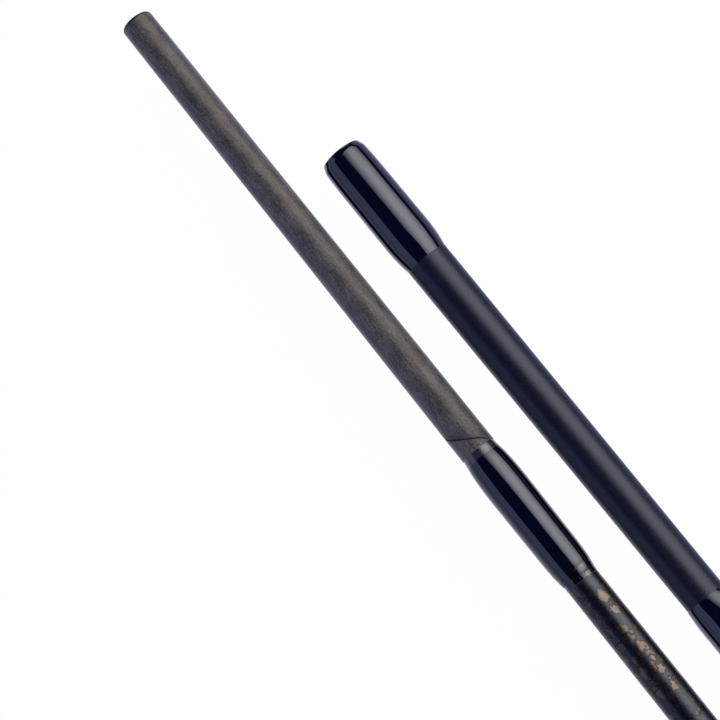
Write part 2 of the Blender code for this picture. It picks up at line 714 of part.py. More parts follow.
def thread_ridge(start, frame):
    """A helical ridge, sunk a little into the barrel."""
    foot_r = SEAT_R - THREAD_DEPTH - THREAD_SUNK
    half = THREAD_FOOT / 2
    crest = THREAD_CREST / 2
    section = [(foot_r, -half), (SEAT_R, -crest), (SEAT_R, crest), (foot_r, half)]
    mesh = bpy.data.meshes.new("thread ridge")
    edges = [(i, (i + 1) % len(section)) for i in range(len(section))]
    first = start + THREAD_PITCH / 2
    # turned by half a side, so that its edges meet the barrel's flats and not their corners
    across, aside = math.cos(math.pi / GRIP_SIDES), math.sin(math.pi / GRIP_SIDES)
    mesh.from_pydata([(radius * across, radius * aside, first + z) for radius, z in section], edges, [])
    drawn = place("thread ridge", mesh, None, frame)
    screw = add_screw(drawn, THREAD_SIDES)
    screw.screw_offset = THREAD_PITCH
    screw.iterations = int(THREAD_LENGTH / THREAD_PITCH) - 1
    return place("thread ridge", closed_mesh(drawn), None, frame)


def flat_cutter(name, start, end, height, frame):
    """What lies over a flat on the guide side."""
    over = 2 * SEAT_R
    return tapered_block(name, (start, height, over, over), (end, height, over, over), frame)


def make_seat(rear, hood_mouth, frame):
    """The seat and its arbors. Its bed ends at the fixed hood's mouth. Returns where its fore end is."""
    fore = rear - SEAT_LENGTH
    root = SEAT_R - THREAD_DEPTH
    thread_end = fore + THREAD_LENGTH
    outer = [(fore, root), (thread_end, root), (thread_end + THREAD_DEPTH, SEAT_R), (rear, SEAT_R)]
    bore = [(fore, SEAT_BORE_R), (rear, SEAT_BORE_R)]
    seat = turned("reel_seat_body", outer, bore, GRIP_SIDES, SEAT_PLASTIC, frame)
    combine(seat, "UNION", thread_ridge(fore, frame))
    flats = (
        ("bed", fore - CUT_PAST, rear + CUT_PAST, BED_HEIGHT),
        ("fore key flat", fore - CUT_PAST, thread_end, BED_HEIGHT - BED_STEP),
        ("rear key flat", hood_mouth - END_GAP, rear + CUT_PAST, BED_HEIGHT - BED_STEP),
    )
    for flat in flats:
        combine(seat, "DIFFERENCE", flat_cutter(*flat, frame))
    outside = SEAT_BORE_R - FIT
    for name, start in (
        ("seat_arbor_fore", fore + ARBOR_INSET),
        ("seat_arbor_rear", rear - ARBOR_INSET - ARBOR_LENGTH),
    ):
        outer = [(start, outside), (start + ARBOR_LENGTH, outside)]
        sleeve(name, butt_blank_r, outer, GRIP_SIDES, ARBOR_FOAM, frame)
    return fore


def make_hood(name, mouth, onward, gap, frame):
    """A hood with a pocket for an end of the reel foot. onward is the way into the pocket."""
    stations = (
        (mouth, HOOD_R - HOOD_EDGE, HOOD_SHIFT),
        (mouth + onward * HOOD_EDGE, HOOD_R, HOOD_SHIFT),
        (mouth + onward * HOOD_STRAIGHT, HOOD_R, HOOD_SHIFT),
        (mouth + onward * (HOOD_LENGTH - HOOD_EDGE), HOOD_BAND_R, 0),
        (mouth + onward * HOOD_LENGTH, HOOD_BAND_R - HOOD_EDGE / 2, 0),
    )
    hood = lofted(name, sorted(stations), False, GRIP_SIDES, GUNMETAL, frame)
    low, high = sorted((mouth - onward * CUT_PAST, mouth + onward * (HOOD_LENGTH + CUT_PAST)))
    bore_r = corner_radius(SEAT_R, gap, GRIP_SIDES)
    bore = turned(name + " bore", [(low, bore_r), (high, bore_r)], [], GRIP_SIDES, None, frame)
    key = flat_cutter(name + " key", low - CUT_PAST, high + CUT_PAST, BED_HEIGHT + gap, frame)
    combine(bore, "DIFFERENCE", key)
    low, high = sorted((mouth - onward * CUT_PAST, mouth + onward * HOOD_POCKET))
    pocket_r = HOOD_R - HOOD_WALL
    outer = [(low, pocket_r), (high, pocket_r)]
    pocket = turned(name + " pocket", outer, [], GRIP_SIDES, None, frame, HOOD_SHIFT)
    combine(hood, "DIFFERENCE", bore, pocket)


def make_nut(start, frame):
    """The lock nut with the foam fore grip on its sleeve. start is its fore end, at the sleeve."""
    flange = start + NUT_SLEEVE_LENGTH
    end = flange + NUT_FLANGE_LENGTH
    outer = [
        (start, NUT_SLEEVE_R),
        (flange, NUT_SLEEVE_R),
        (flange, NUT_FLANGE_R - NUT_EDGE),
        (flange + NUT_EDGE, NUT_FLANGE_R),
        (end - NUT_EDGE, NUT_FLANGE_R),
        (end, NUT_FLANGE_R - NUT_EDGE),
    ]
    bore_r = corner_radius(SEAT_R, SLIDE_FIT, GRIP_SIDES)
    turned("lock_nut", outer, [(start, bore_r), (end, bore_r)], GRIP_SIDES, GUNMETAL, frame)
    rear = flange - END_GAP
    fore = rear - FORE_GRIP_LENGTH
    outer = round_end(fore, FORE_GRIP_FORE_R, (FORE_GRIP_FORE_R - NUT_SLEEVE_R) / 2, -1)
    outer.append(((fore + rear) / 2, FORE_GRIP_REAR_R))
    outer.append((rear, FORE_GRIP_REAR_R - NUT_EDGE))
    grip_bore = corner_radius(NUT_SLEEVE_R, FIT, GRIP_SIDES)
    turned("fore_grip", outer, [(fore, grip_bore), (rear, grip_bore)], GRIP_SIDES, FOAM, frame)


def make_fore_check(seat_fore, frame):
    rear = seat_fore - END_GAP
    start = rear - FORE_CHECK_LENGTH
    outer = [
        (start, butt_blank_r(start) + FORE_CHECK_RIM),
        (rear - FORE_CHECK_RIM, FORE_CHECK_R),
        (rear, FORE_CHECK_R),
    ]
    sleeve("fore_winding_check", butt_blank_r, outer, GRIP_SIDES, GUNMETAL, frame)


def make_guide_2(frame, slope):
    """The first guide of the tip section. It stands on the floor, as the tip-top does."""
    at = GUIDE_2_WHIP_START + FOOT_OVERHANG + GUIDE_2_FOOT + GUIDE_2_REACH
    over_floor = mouth_height(slope) - slope * at
    guide = Guide(
        name="guide_2",
        at=at,
        ring_r=GUIDE_2_RING_R,
        section=GUIDE_2_RING_SECTION,
        height=(over_floor - GUIDE_2_RING_R - FIT - BAND_WALL) / math.cos(TIP_ROLL),
        wire_r=GUIDE_2_WIRE_R,
        foot=GUIDE_2_FOOT,
        reach=GUIDE_2_REACH,
        sides=ROD_SIDES,
    )
    make_guide(guide, tip_blank_r, ((-1, "guide_2_whipping_rear"), (1, "guide_2_whipping_fore")), frame)


def make_single_guides(frame):
    for number, (at, ring_r, height) in enumerate(SINGLE_GUIDES, start=3):
        guide = Guide(
            name=f"guide_{number}",
            at=at,
            ring_r=ring_r,
            section=SINGLE_RING_SECTION,
            height=height,
            wire_r=SINGLE_WIRE_R,
            foot=SINGLE_FOOT,
            reach=SINGLE_REACH,
            sides=FINE_SIDES,
        )
        make_guide(guide, tip_blank_r, ((1, guide.name + "_whipping"),), frame)


def make_tip_top(frame):
    """The end guide: a tube over the blank's end, with two short legs to its ring."""
    guide = Guide(
        name="tip_top",
        at=SECTION_LENGTH + TIP_TOP_AHEAD,
        ring_r=TIP_TOP_RING_R,
        section=SINGLE_RING_SECTION,
        height=TIP_TOP_HEIGHT,
        wire_r=TIP_TOP_WIRE_R,
        foot=TIP_TOP_TUBE,
        reach=TIP_TOP_AHEAD,
        sides=FINE_SIDES,
    )
    start = SECTION_LENGTH - guide.foot
    end = SECTION_LENGTH + TIP_TOP_TUBE_END
    tube_r = corner_radius(tip_blank_r(start), FIT, FINE_SIDES) + TIP_TOP_TUBE_WALL
    outer = [(start, tube_r), (end - TIP_TOP_TUBE_WALL, tube_r), (end, tube_r - TIP_TOP_TUBE_WALL)]
    bore = hugging(tip_blank_r, (start, SECTION_LENGTH + FIT), FINE_SIDES)
    body = turned("tip_top_frame", outer, bore, FINE_SIDES, FRAME_METAL, frame, blind=True)
    helpers = []
    for hand in (-1, 1):
        land = (tube_r, hand * tube_r / 2, guide.at - 2 * guide.reach)
        helpers.append(wire("tip-top leg", (band_side(guide, -1, hand), land), guide.wire_r, frame))
    band = band_disc(guide, "tip-top band", None, frame)
    combine(body, "UNION", band, gathered("tip-top legs", helpers, frame))
    cut_ring_seat(guide, body, frame)
    make_ring(guide, frame)
    rise = TIP_TOP_WHIP / 2
    build = TIP_TOP_WHIP_BUILD
    rear = start - FIT - TIP_TOP_WHIP
    fall = TIP_TOP_TUBE_WALL
    steps = TIP_TOP_WINDING_STEPS
    outer = winding(
        tip_blank_r, rear, TIP_TOP_WHIP, build, build, rise, fall, steps=steps, sides=FINE_SIDES
    )
    sleeve("tip_top_whipping", tip_blank_r, outer, FINE_SIDES, GLOSS_RESIN, frame)


def lie_of_tip():
    """The tip section's fall, in metres a metre, with its tip-top on the floor."""
    reach = TIP_TOP_HEIGHT * math.cos(TIP_ROLL) + TIP_TOP_RING_R + FIT + BAND_WALL
    run = SECTION_LENGTH + TIP_TOP_AHEAD + (MOUTH_BEHIND_TENON_END + LINED_UP_GAP) / 2
    return (BUTT_CAP_R - reach) / run


def mouth_height(slope):
    """The mouth's height, from which the turn end for end brings it level with the tenon."""
    return BUTT_CAP_R - slope * (MOUTH_BEHIND_TENON_END + LINED_UP_GAP) / 2


def turn_frame(mouth, along):
    """The matrix of the axis about which the tip section turns until its mouth faces the tenon."""
    faced = Vector((-1, 0, 0))
    lined_up = Vector((-LINED_UP_GAP, 0, BUTT_CAP_R))
    axis = (along - faced).cross(mouth - lined_up).normalized()
    if axis.z < 0:
        axis.negate()
    across, to = (v - v.dot(axis) * axis for v in (along, faced))
    angle = across.angle(to)
    if across.cross(to).dot(axis) < 0:
        angle = 2 * math.pi - angle
    centre = (mouth + lined_up) / 2 + axis.cross(lined_up - mouth) / (2 * math.tan(angle / 2))
    return axes_at(centre, axis, Vector((1, 0, 0)))


def stand_on_floor(rod):
    """Moves the rod so that the bottom middle of its box is the origin."""
    bpy.context.view_layer.update()
    graph = bpy.context.evaluated_depsgraph_get()
    corners = []
    for obj in bpy.data.collections["Drop shot rod"].objects:
        if obj.type != "MESH":
            continue
        made = obj.evaluated_get(graph)
        corners += [made.matrix_world @ vertex.co for vertex in made.data.vertices]
    low = [min(corner[k] for corner in corners) for k in range(3)]
    high = [max(corner[k] for corner in corners) for k in range(3)]
    rod.location = (-(low[0] + high[0]) / 2, -(low[1] + high[1]) / 2, -low[2])
    bpy.context.view_layer.update()


def main():
    clear_scene()
    new_collection("Drop shot rod")
    new_collection("Cutters", hidden=True)
    rod = new_frame("rod", Matrix.Identity(4))

    roll = stripper_roll()
    guide_side = Vector((0, -math.sin(roll), -math.cos(roll)))
    tenon_end = Vector((0, 0, BUTT_CAP_R))
    butt = new_frame("butt section", axes_at(tenon_end, Vector((1, 0, 0)), guide_side), rod)
    make_butt_blank(butt)
    make_tenon_sleeve(butt)
    make_butt_ferrule_whipping(butt)
    make_stripper(butt)
    seat_rear = make_handle(butt)
    fixed_mouth = seat_rear - FIXED_HOOD_INSET - HOOD_LENGTH
    seat_fore = make_seat(seat_rear, fixed_mouth, butt)
    make_fore_check(seat_fore, butt)
    make_hook_keeper(butt, seat_fore)
    make_hood("fixed_hood", fixed_mouth, 1, FIT, butt)
    hood_mouth = seat_fore + HOOD_OPEN_INSET + HOOD_LENGTH
    hood_slide = new_frame("hood slide", Matrix.Translation((0, 0, hood_mouth)), butt)
    make_hood("sliding_hood", 0, -1, SLIDE_FIT, hood_slide)
    nut_end = hood_mouth - HOOD_LENGTH - END_GAP
    nut_start = nut_end - NUT_FLANGE_LENGTH - NUT_SLEEVE_LENGTH
    nut_spin = new_frame("nut spin", Matrix.Translation((0, 0, nut_start)), butt)
    make_nut(0, nut_spin)

    slope = lie_of_tip()
    along = Vector((math.cos(SPREAD), math.sin(SPREAD), -slope)).normalized()
    mouth = Vector((MOUTH_BEHIND_TENON_END, MOUTH_SPACING, mouth_height(slope)))
    guide_side = Vector((0, math.sin(TIP_ROLL), -math.cos(TIP_ROLL)))
    turn = turn_frame(mouth, along)
    tip_turn = new_frame("tip turn", turn, rod)
    tip = new_frame("tip section", turn.inverted() @ axes_at(mouth, along, guide_side), tip_turn)
    make_tip_blank(tip)
    make_tip_ferrule_whipping(tip)
    make_guide_2(tip, slope)
    make_single_guides(tip)
    make_tip_top(tip)
    stand_on_floor(rod)


main()
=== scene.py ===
"""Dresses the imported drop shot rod: fine pieces and finishes round its solids, studio light and camera.

Metres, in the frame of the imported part. Each half of the rod is modelled in a frame of its own, whose Z runs
along the half from its ferrule end and whose X points to its line guides.
"""

import math

import bmesh
import bpy
import numpy as np
from bpy.props import FloatProperty, FloatVectorProperty, IntProperty, PointerProperty
from mathutils import Matrix, Vector


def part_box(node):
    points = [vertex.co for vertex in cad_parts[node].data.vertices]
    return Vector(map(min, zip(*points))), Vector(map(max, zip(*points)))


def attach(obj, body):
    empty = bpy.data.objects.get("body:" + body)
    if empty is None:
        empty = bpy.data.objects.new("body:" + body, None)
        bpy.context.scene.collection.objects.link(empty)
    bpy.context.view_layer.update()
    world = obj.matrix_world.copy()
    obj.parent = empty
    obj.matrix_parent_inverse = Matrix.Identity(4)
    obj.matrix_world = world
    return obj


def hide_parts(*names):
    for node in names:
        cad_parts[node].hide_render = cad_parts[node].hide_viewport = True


bl_info = {
    "name": "Drop Shot Rod Dresser",
    "version": (1, 0, 0),
    "blender": (4, 5, 0),
    "location": "View3D > Sidebar > Rod",
    "description": "Builds the visible pieces and finishes of a two-piece drop shot rod round its solids",
    "category": "Object",
}

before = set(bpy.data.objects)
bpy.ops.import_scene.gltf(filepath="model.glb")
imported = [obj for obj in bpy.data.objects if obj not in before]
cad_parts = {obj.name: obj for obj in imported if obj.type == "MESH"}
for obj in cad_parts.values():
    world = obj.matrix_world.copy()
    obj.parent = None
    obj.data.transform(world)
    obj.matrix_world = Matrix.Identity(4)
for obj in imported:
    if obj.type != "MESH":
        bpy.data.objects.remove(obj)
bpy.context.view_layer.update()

MM = 0.001
ROUND = 96  # sides of a turned piece
SLENDER = 40  # sides of a wire or a leg
SEAT_SIDES = 144  # sides of the reel seat, for its thread and flats
NUT_SIDES = 288  # sides of the lock nut, for its flutes
SMOOTH_ANGLE = math.radians(38)
END_SLICE = 0.2 * MM  # the end ring of a blank lies within this length of its end
SUNK = 0.08 * MM  # how far a bound piece reaches into what it is bound on
WELD = 0.0005 * MM  # corners nearer than this are one
CLOSE = 0.01 * MM  # the least distance between an outline's corners
ARC_SHARE = 0.48  # the most of a side that the rounding of its corner takes
BUTT_STATIONS = 41  # rings along the butt blank
TENON_STATIONS = 61  # rings along the tenon
TIP_STATIONS = 90  # rings along the tip blank
GRIP_STATIONS = 101  # rings along a grip behind the seat
ARC_STEPS = 12  # steps of a rounded end
WINDING_STEPS = 28  # steps of the rounding at each end of a winding
RING_STEPS = 28  # corners of a hard ring's section
TENT_STEPS = 24  # sides of the dark tent
TENT_REACH = 92  # degrees that the tent comes down on each side, from straight up
FLOOR_FADE = (-0.39, -0.33)  # along X, where the floor's look by the ferrule ends in gloss
CARD_FADE = (-0.1, 0.3)  # along X, where the cards' colour by the ferrule ends
UNSEEN_IN_GLOSS = ("tenon", "ferrule_trim", "butt_whipping", "butt_resin_tail", "butt_blank_tube")
STEP_RUN = 0.6 * MM  # length of the step where a thread ends under the resin
TOE_RUN = 0.5 * MM  # length over which a winding comes down at its thin end
RING_GAP = 0.02 * MM  # between a hard ring and its band
FOOT_SEAT = 0.05 * MM  # how high a wire foot lies over the blank
FOOT_WIDTH = 1.6  # a guide foot's width over its wire's


class Half:
    """One half of the rod, read from its packed blank and from one of its guide rings."""

    def __init__(self, body, blank, ring):
        self.body = body
        self.blank = blank
        points = self.world_points(blank)
        fore = points[points[:, 0] < points[:, 0].min() + END_SLICE].mean(0)
        rear = points[points[:, 0] > points[:, 0].max() - END_SLICE].mean(0)
        along = Vector(rear - fore).normalized()
        low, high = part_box(ring)
        side = (low + high) / 2 - Vector(fore)
        side = (side - side.dot(along) * along).normalized()
        turned_to = Matrix((side, along.cross(side), along)).transposed()
        self.matrix = Matrix.Translation(Vector(fore)) @ turned_to.to_4x4()
        self.outlines = {}

    @staticmethod
    def world_points(node):
        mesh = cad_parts[node].data
        flat = np.zeros(len(mesh.vertices) * 3)
        mesh.vertices.foreach_get("co", flat)
        return np.unique(np.round(flat.reshape(-1, 3), 7), axis=0)

    def points(self, node):
        """A node's corners in this half's frame."""
        inverse = np.array(self.matrix.inverted())
        return self.world_points(node) @ inverse[:3, :3].T + inverse[:3, 3]

    def span(self, node):
        """Where a node starts and ends along the axis."""
        z = self.points(node)[:, 2]
        return float(z.min()), float(z.max())

    def reach(self, node):
        """A node's largest distance from the axis."""
        points = self.points(node)
        return float(np.hypot(points[:, 0], points[:, 1]).max())

    def middle(self, node):
        """The middle of a node's box."""
        points = self.points(node)
        return Vector((points.min(0) + points.max(0)) / 2)

    def radius_of(self, node, z):
        """The outer radius of a turned node at z."""
        if node not in self.outlines:
            points = self.points(node)
            places = np.round(points[:, 2], 5)
            radii = np.hypot(points[:, 0], points[:, 1])
            hull = []
            for place in np.unique(places):
                corner = (place, radii[places == place].max())
                while len(hull) > 1 and self.dips(*hull[-2:], corner):
                    hull.pop()
                hull.append(corner)
            self.outlines[node] = tuple(zip(*hull))
        return float(np.interp(z, *self.outlines[node]))

    def blank_radius(self, z):
        return self.radius_of(self.blank, z)

    @staticmethod
    def dips(before, corner, after):
        """Whether a corner lies on or under the line between its neighbours, as a bore's corners do."""
        rise = (after[1] - before[1]) * (corner[0] - before[0]) / (after[0] - before[0])
        return corner[1] <= before[1] + rise


BUTT = Half("butt_section", "butt_blank", "stripper_guide_ring")
TIP = Half("tip_section", "tip_blank", "guide_2_ring")


class Value:
    """A shader socket that takes part in sums. An expression on values adds its Math nodes."""

    def __init__(self, tree, socket):
        self.tree = tree
        self.socket = socket

    def joined(self, operation, *terms):
        """A Math node on the terms."""
        node = self.tree.nodes.new("ShaderNodeMath")
        node.operation = operation
        for entry, term in zip(node.inputs, terms):
            feed(self.tree, entry, term)
        return Value(self.tree, node.outputs[0])

    def __add__(self, other):
        return self.joined("ADD", self, other)

    def __radd__(self, other):
        return self.joined("ADD", other, self)

    def __sub__(self, other):
        return self.joined("SUBTRACT", self, other)

    def __rsub__(self, other):
        return self.joined("SUBTRACT", other, self)

    def __mul__(self, other):
        return self.joined("MULTIPLY", self, other)

    def __rmul__(self, other):
        return self.joined("MULTIPLY", other, self)

    def __truediv__(self, other):
        return self.joined("DIVIDE", self, other)

    def __abs__(self):
        return self.joined("ABSOLUTE", self)

    def at_least(self, other):
        return self.joined("MAXIMUM", self, other)

    def sine(self):
        return self.joined("SINE", self)

    def bell(self):
        """1 where the value is 0, falling off on both sides as a bell does."""
        return self.joined("EXPONENT", self * self * -0.5)

    def between(self, low, high):
        """0 below low, 1 above high and a soft step between them."""
        node = self.tree.nodes.new("ShaderNodeMapRange")
        node.interpolation_type = "SMOOTHSTEP"
        feed(self.tree, node.inputs["Value"], self)
        feed(self.tree, node.inputs["From Min"], low)
        feed(self.tree, node.inputs["From Max"], high)
        return Value(self.tree, node.outputs["Result"])


def feed(tree, entry, given):
    """Links a value to a socket, or sets a plain number, colour or vector on it."""
    if isinstance(given, Value):
        tree.links.new(given.socket, entry)
    elif entry.type == "RGBA":
        entry.default_value = (*given, 1.0) if len(given) == 3 else given
    else:
        entry.default_value = given


class Graph:
    """The nodes of a material or of the world."""

    def __init__(self, tree):
        self.tree = tree

    def node(self, kind, settings=(), sockets=(), out=0):
        """Any node: its settings are set first, then its sockets. Returns one of its outputs."""
        made = self.tree.nodes.new(kind)
        for key, setting in dict(settings).items():
            setattr(made, key, setting)
        for key, given in dict(sockets).items():
            feed(self.tree, made.inputs[key], given)
        return Value(self.tree, made.outputs[out])

    def place(self):
        """Where a point lies in its piece's frame, in metres."""
        return self.node("ShaderNodeTexCoord", out="Object")

    def place_mm(self, scale=(1.0, 1.0, 1.0)):
        """Where a point lies in its piece's frame, in millimetres times a scale for each axis."""
        grown = [share / MM for share in scale]
        return self.node("ShaderNodeVectorMath", {"operation": "MULTIPLY"}, {0: self.place(), 1: grown})

    def part(self, vector, axis):
        """One of a vector's three numbers."""
        return self.node("ShaderNodeSeparateXYZ", (), {"Vector": vector}, axis)

    def along_mm(self):
        """How far along the rod's half a point lies, in millimetres."""
        return self.part(self.place_mm(), "Z")

    def turn(self):
        """The angle of a point round its half's axis, in radians from the guide side."""
        here = self.place_mm()
        x = self.part(here, "X")
        return x.joined("ARCTAN2", self.part(here, "Y"), x)

    def noise(self, size_mm, detail=2.0, stretch=(1.0, 1.0, 1.0), roughness=0.5, seed=0.0):
        """Soft noise from 0 to 1 with a grain of about size_mm, drawn out by the stretch along each axis."""
        place = self.place_mm([1.0 / (size_mm * share) for share in stretch])
        sockets = {"Vector": place, "W": seed, "Scale": 1.0, "Detail": detail, "Roughness": roughness}
        return self.node("ShaderNodeTexNoise", {"noise_dimensions": "4D"}, sockets, "Fac")

    def mix(self, share, first, second):
        """A colour between two. 6 and 7 are the Mix node's colour sockets, and 2 is its colour output."""
        return self.node("ShaderNodeMix", {"data_type": "RGBA"}, {0: share, 6: first, 7: second}, 2)

    def bump(self, height, depth_mm, strength=1.0):
        sockets = {"Height": height, "Distance": depth_mm * MM, "Strength": strength}
        return self.node("ShaderNodeBump", (), sockets)


def finish_of(name, build):
    """The material of that name, whose Principled sockets are what build returns."""
    found = bpy.data.materials.get(name)
    if found:
        return found
    made = bpy.data.materials.new(name)
    made.use_nodes = True
    shader = made.node_tree.nodes["Principled BSDF"]
    for key, given in build(Graph(made.node_tree)).items():
        feed(made.node_tree, shader.inputs[key], given)
    return made


def sanded_carbon(graph):
    """The tenon: carbon ground to size, with grain along it, the end of its outer ply with painted shade by
    its step, and a sealed tip.
    """
    look = bpy.context.scene.rod_blanks
    along = graph.along_mm()
    turn = graph.turn()
    fine = graph.noise(0.2, stretch=(1.0, 1.0, 1.6), roughness=0.6, seed=1.0)
    streaks = graph.noise(0.22, stretch=(1.0, 1.0, 12.0), seed=2.0)
    cloudy = graph.noise(2.6, stretch=(1.0, 1.0, 2.0), seed=3.0)
    grain = fine * 0.5 + streaks * 0.25 + cloudy * 0.25
    shade = graph.mix(grain.between(0.38, 0.62), look.carbon_dark, look.carbon_light)
    away = turn - look.ply_edge_turn
    wander = (graph.noise(0.9, seed=4.0) - 0.5) * 0.5
    past = along - look.ply_edge_at / MM + away * (look.ply_edge_slant / MM) + wander
    shown = abs(away).between(look.ply_edge_reach, look.ply_edge_reach * 0.75)
    line = (1.0 - abs(past).between(0.12, 0.3)) * shown
    # Painted shade of the ply's step over darker texture: a cloudy dark band just before the ply's edge.
    smear_and_step_shade = (1.0 - abs(past + 0.45).between(0.1, 0.9)) * shown * (cloudy * 1.8 - 0.45)
    groove = line.at_least(smear_and_step_shade)
    shade = graph.mix(groove, shade, look.ply_edge)
    sealed = 1.0 - along.between(look.sealed_end / MM * 0.85, look.sealed_end / MM * 1.1)
    shade = graph.mix(sealed, shade, look.sealed)
    rough = (0.28 + fine * 0.12 + cloudy * 0.06 + groove * 0.5) * (1.0 - sealed * 0.8)
    height = fine * 0.6 + streaks * 0.3 + past.between(-0.1, 0.1) * shown * 1.5
    return {
        "Base Color": shade,
        "Roughness": rough,
        "Specular Tint": look.carbon_sheen,
        "Sheen Weight": 0.12,
        "Sheen Roughness": 0.3,
        "Normal": graph.bump(height, 0.03, 0.7),
    }


def flecks(graph):
    """The butt blank's pattern: ragged, rounded flecks like bright flakes, in black.

    Returns its colour, the share of flake at a point and the fine noise in the flakes.
    """
    look = bpy.context.scene.rod_blanks
    here = graph.place_mm((1.0, 1.0, 0.85))
    sway = graph.node("ShaderNodeTexNoise", (), {"Vector": here, "Scale": 1.1, "Detail": 2.0}, "Color")
    moved = graph.node(
        "ShaderNodeVectorMath", {"operation": "MULTIPLY_ADD"}, {0: sway, 1: (1.6, 1.6, 1.6), 2: here}
    )
    cell = {"Vector": moved, "Scale": MM / look.fleck_size}
    edge = graph.node("ShaderNodeTexVoronoi", {"feature": "DISTANCE_TO_EDGE"}, cell, "Distance")
    middle = graph.node("ShaderNodeTexVoronoi", {"feature": "F1"}, cell, "Distance")
    kind = graph.node("ShaderNodeTexVoronoi", {"feature": "F1"}, cell, "Color")
    chosen = graph.part(kind, "X")
    tone = graph.part(kind, "Y")
    crumbs = graph.noise(0.35, detail=3.0, roughness=0.6, seed=6.0)
    ragged = (crumbs - 0.5) * 0.4
    share = (0.68 - middle + ragged * 0.6).between(0.0, 0.28) * (edge + ragged * 0.3).between(0.0, 0.14)
    tenon_end = BUTT.span("tenon_sleeve")[1] / MM
    open_air = graph.along_mm().between(tenon_end - 1.0, tenon_end)
    share = share * chosen.between(0.3, 0.4) * open_air
    tan = graph.mix(tone.between(0.1, 0.8), look.fleck_brown, look.fleck_tan)
    tan = graph.mix(crumbs.between(0.42, 0.66) * 0.7, tan, look.fleck_pale)
    return graph.mix(share, look.fleck_ground, tan), share.between(0.0, 0.25), crumbs


def flecked_blank(graph):
    """The butt blank's pattern under a satin lacquer."""
    shade, share, crumbs = flecks(graph)
    lacquer = graph.noise(0.9, seed=8.0)
    return {
        "Base Color": shade,
        "Roughness": 0.18 + lacquer * 0.26,
        "Metallic": share,
        "Specular IOR Level": 0.38,
        "Normal": graph.bump(share * 0.5 + lacquer + crumbs * 0.15, 0.03, 0.4),
    }


def flecks_under_resin(graph):
    """The same pattern, dimmer, where the whipping's clear resin runs out over it."""
    shade, share, crumbs = flecks(graph)
    look = bpy.context.scene.rod_blanks
    return {
        "Base Color": graph.mix(0.55, shade, look.fleck_ground),
        "Roughness": 0.3,
        "Metallic": share,
        "Specular IOR Level": 0.0,
        "Coat Weight": 0.85,
        "Coat Roughness": 0.03,
        "Normal": graph.bump(crumbs, 0.01, 0.2),
    }


def matt_paint(graph):
    """The tip blank: matt black paint with a fine speckle."""
    look = bpy.context.scene.rod_blanks
    speckle = graph.noise(0.22, seed=9.0)
    clouds = graph.noise(3.0, stretch=(1.0, 1.0, 3.0), seed=10.0)
    shade = graph.mix(speckle.between(0.35, 0.7), look.matt_dark, look.matt_light)
    return {
        "Base Color": shade,
        "Roughness": 0.22 + speckle * 0.25 + clouds * 0.04,
        "Specular IOR Level": 0.27,
        "Normal": graph.bump(speckle, 0.03, 0.6),
    }


def black_resin(graph):
    """Black thread under a thick coat of clear resin."""
    look = bpy.context.scene.rod_windings
    along = graph.along_mm()
    threads = (along * (2 * math.pi * MM / look.thread_pitch)).sine()
    flow = graph.noise(2.6, detail=1.0, stretch=(1.0, 1.0, 2.2), seed=11.0)
    dust = graph.noise(0.5, seed=12.0)
    shade = graph.mix(dust.between(0.4, 0.7), look.resin_dark, look.resin_light)
    return {
        "Base Color": shade,
        "Roughness": 0.03 + dust * 0.02,
        "Normal": graph.bump(flow + threads * 0.0015, 0.07, 0.4),
    }


def trim_winding(graph):
    """A narrow band of dark plum thread under thin resin. Its turns show by painted shade between them and
    painted light on their crests.
    """
    look = bpy.context.scene.rod_windings
    along = graph.along_mm()
    threads = (along * (2 * math.pi * MM / look.thread_pitch)).sine() * 0.5 + 0.5
    tone = graph.noise(0.5, seed=13.0)
    # Painted shade between the turns and painted light on their crests, mixed with a random tone of the
    # thread.
    shade = graph.mix(threads * 0.6 + tone * 0.4, look.trim_groove_shade, look.trim_crest_light)
    return {
        "Base Color": shade,
        "Roughness": 0.08 + threads * 0.06,
        "Coat Weight": 0.35,
        "Coat Roughness": 0.04,
        "Normal": graph.bump(threads, 0.02, 0.3),
    }


def plated_wire(graph):
    """Black plated steel, brighter where it is rubbed."""
    look = bpy.context.scene.rod_fittings
    worn = graph.noise(1.2, detail=3.0, seed=14.0).between(0.55, 0.75)
    fine = graph.noise(0.12, detail=1.0, seed=15.0)
    shade = graph.mix(worn * 0.6, look.frame_dark, look.frame_light)
    return {
        "Base Color": shade,
        "Roughness": 0.24 + fine * 0.14,
        "Metallic": 0.85,
        "Normal": graph.bump(fine, 0.01, 0.3),
    }


def polished_ceramic(graph):
    """The hard ring that the line runs on."""
    look = bpy.context.scene.rod_fittings
    cloud = graph.noise(0.8, seed=16.0)
    shade = graph.mix(cloud.between(0.35, 0.65), look.ring_dark, look.ring_light)
    return {"Base Color": shade, "Roughness": 0.06 + cloud * 0.05, "IOR": 1.75, "Coat Weight": 0.3}


def turned_gunmetal(graph):
    """Dark anodised aluminium with fine lathe marks round it."""
    look = bpy.context.scene.rod_fittings
    along = graph.along_mm()
    marks = graph.noise(0.09, stretch=(60.0, 60.0, 1.0), seed=17.0)
    lathe = (along * 52.0).sine() * 0.5 + 0.5
    worn = graph.noise(1.7, detail=4.0, seed=18.0).between(0.6, 0.8)
    shade = graph.mix(worn * 0.5, look.metal_dark, look.metal_light)
    return {
        "Base Color": shade,
        "Roughness": 0.2 + marks * 0.14,
        "Metallic": 0.95,
        "Normal": graph.bump(lathe * 0.4 + marks, 0.008, 0.4),
    }


def moulded_seat(graph):
    """Satin black moulding with a fine spark-eroded grain."""
    look = bpy.context.scene.rod_handle
    grain = graph.noise(0.22, detail=3.0, seed=19.0)
    broad = graph.noise(4.0, seed=20.0)
    shade = graph.mix(broad.between(0.35, 0.65), look.seat_dark, look.seat_light)
    return {
        "Base Color": shade,
        "Roughness": 0.38 + grain * 0.16,
        "Normal": graph.bump(grain, 0.03, 0.35),
    }


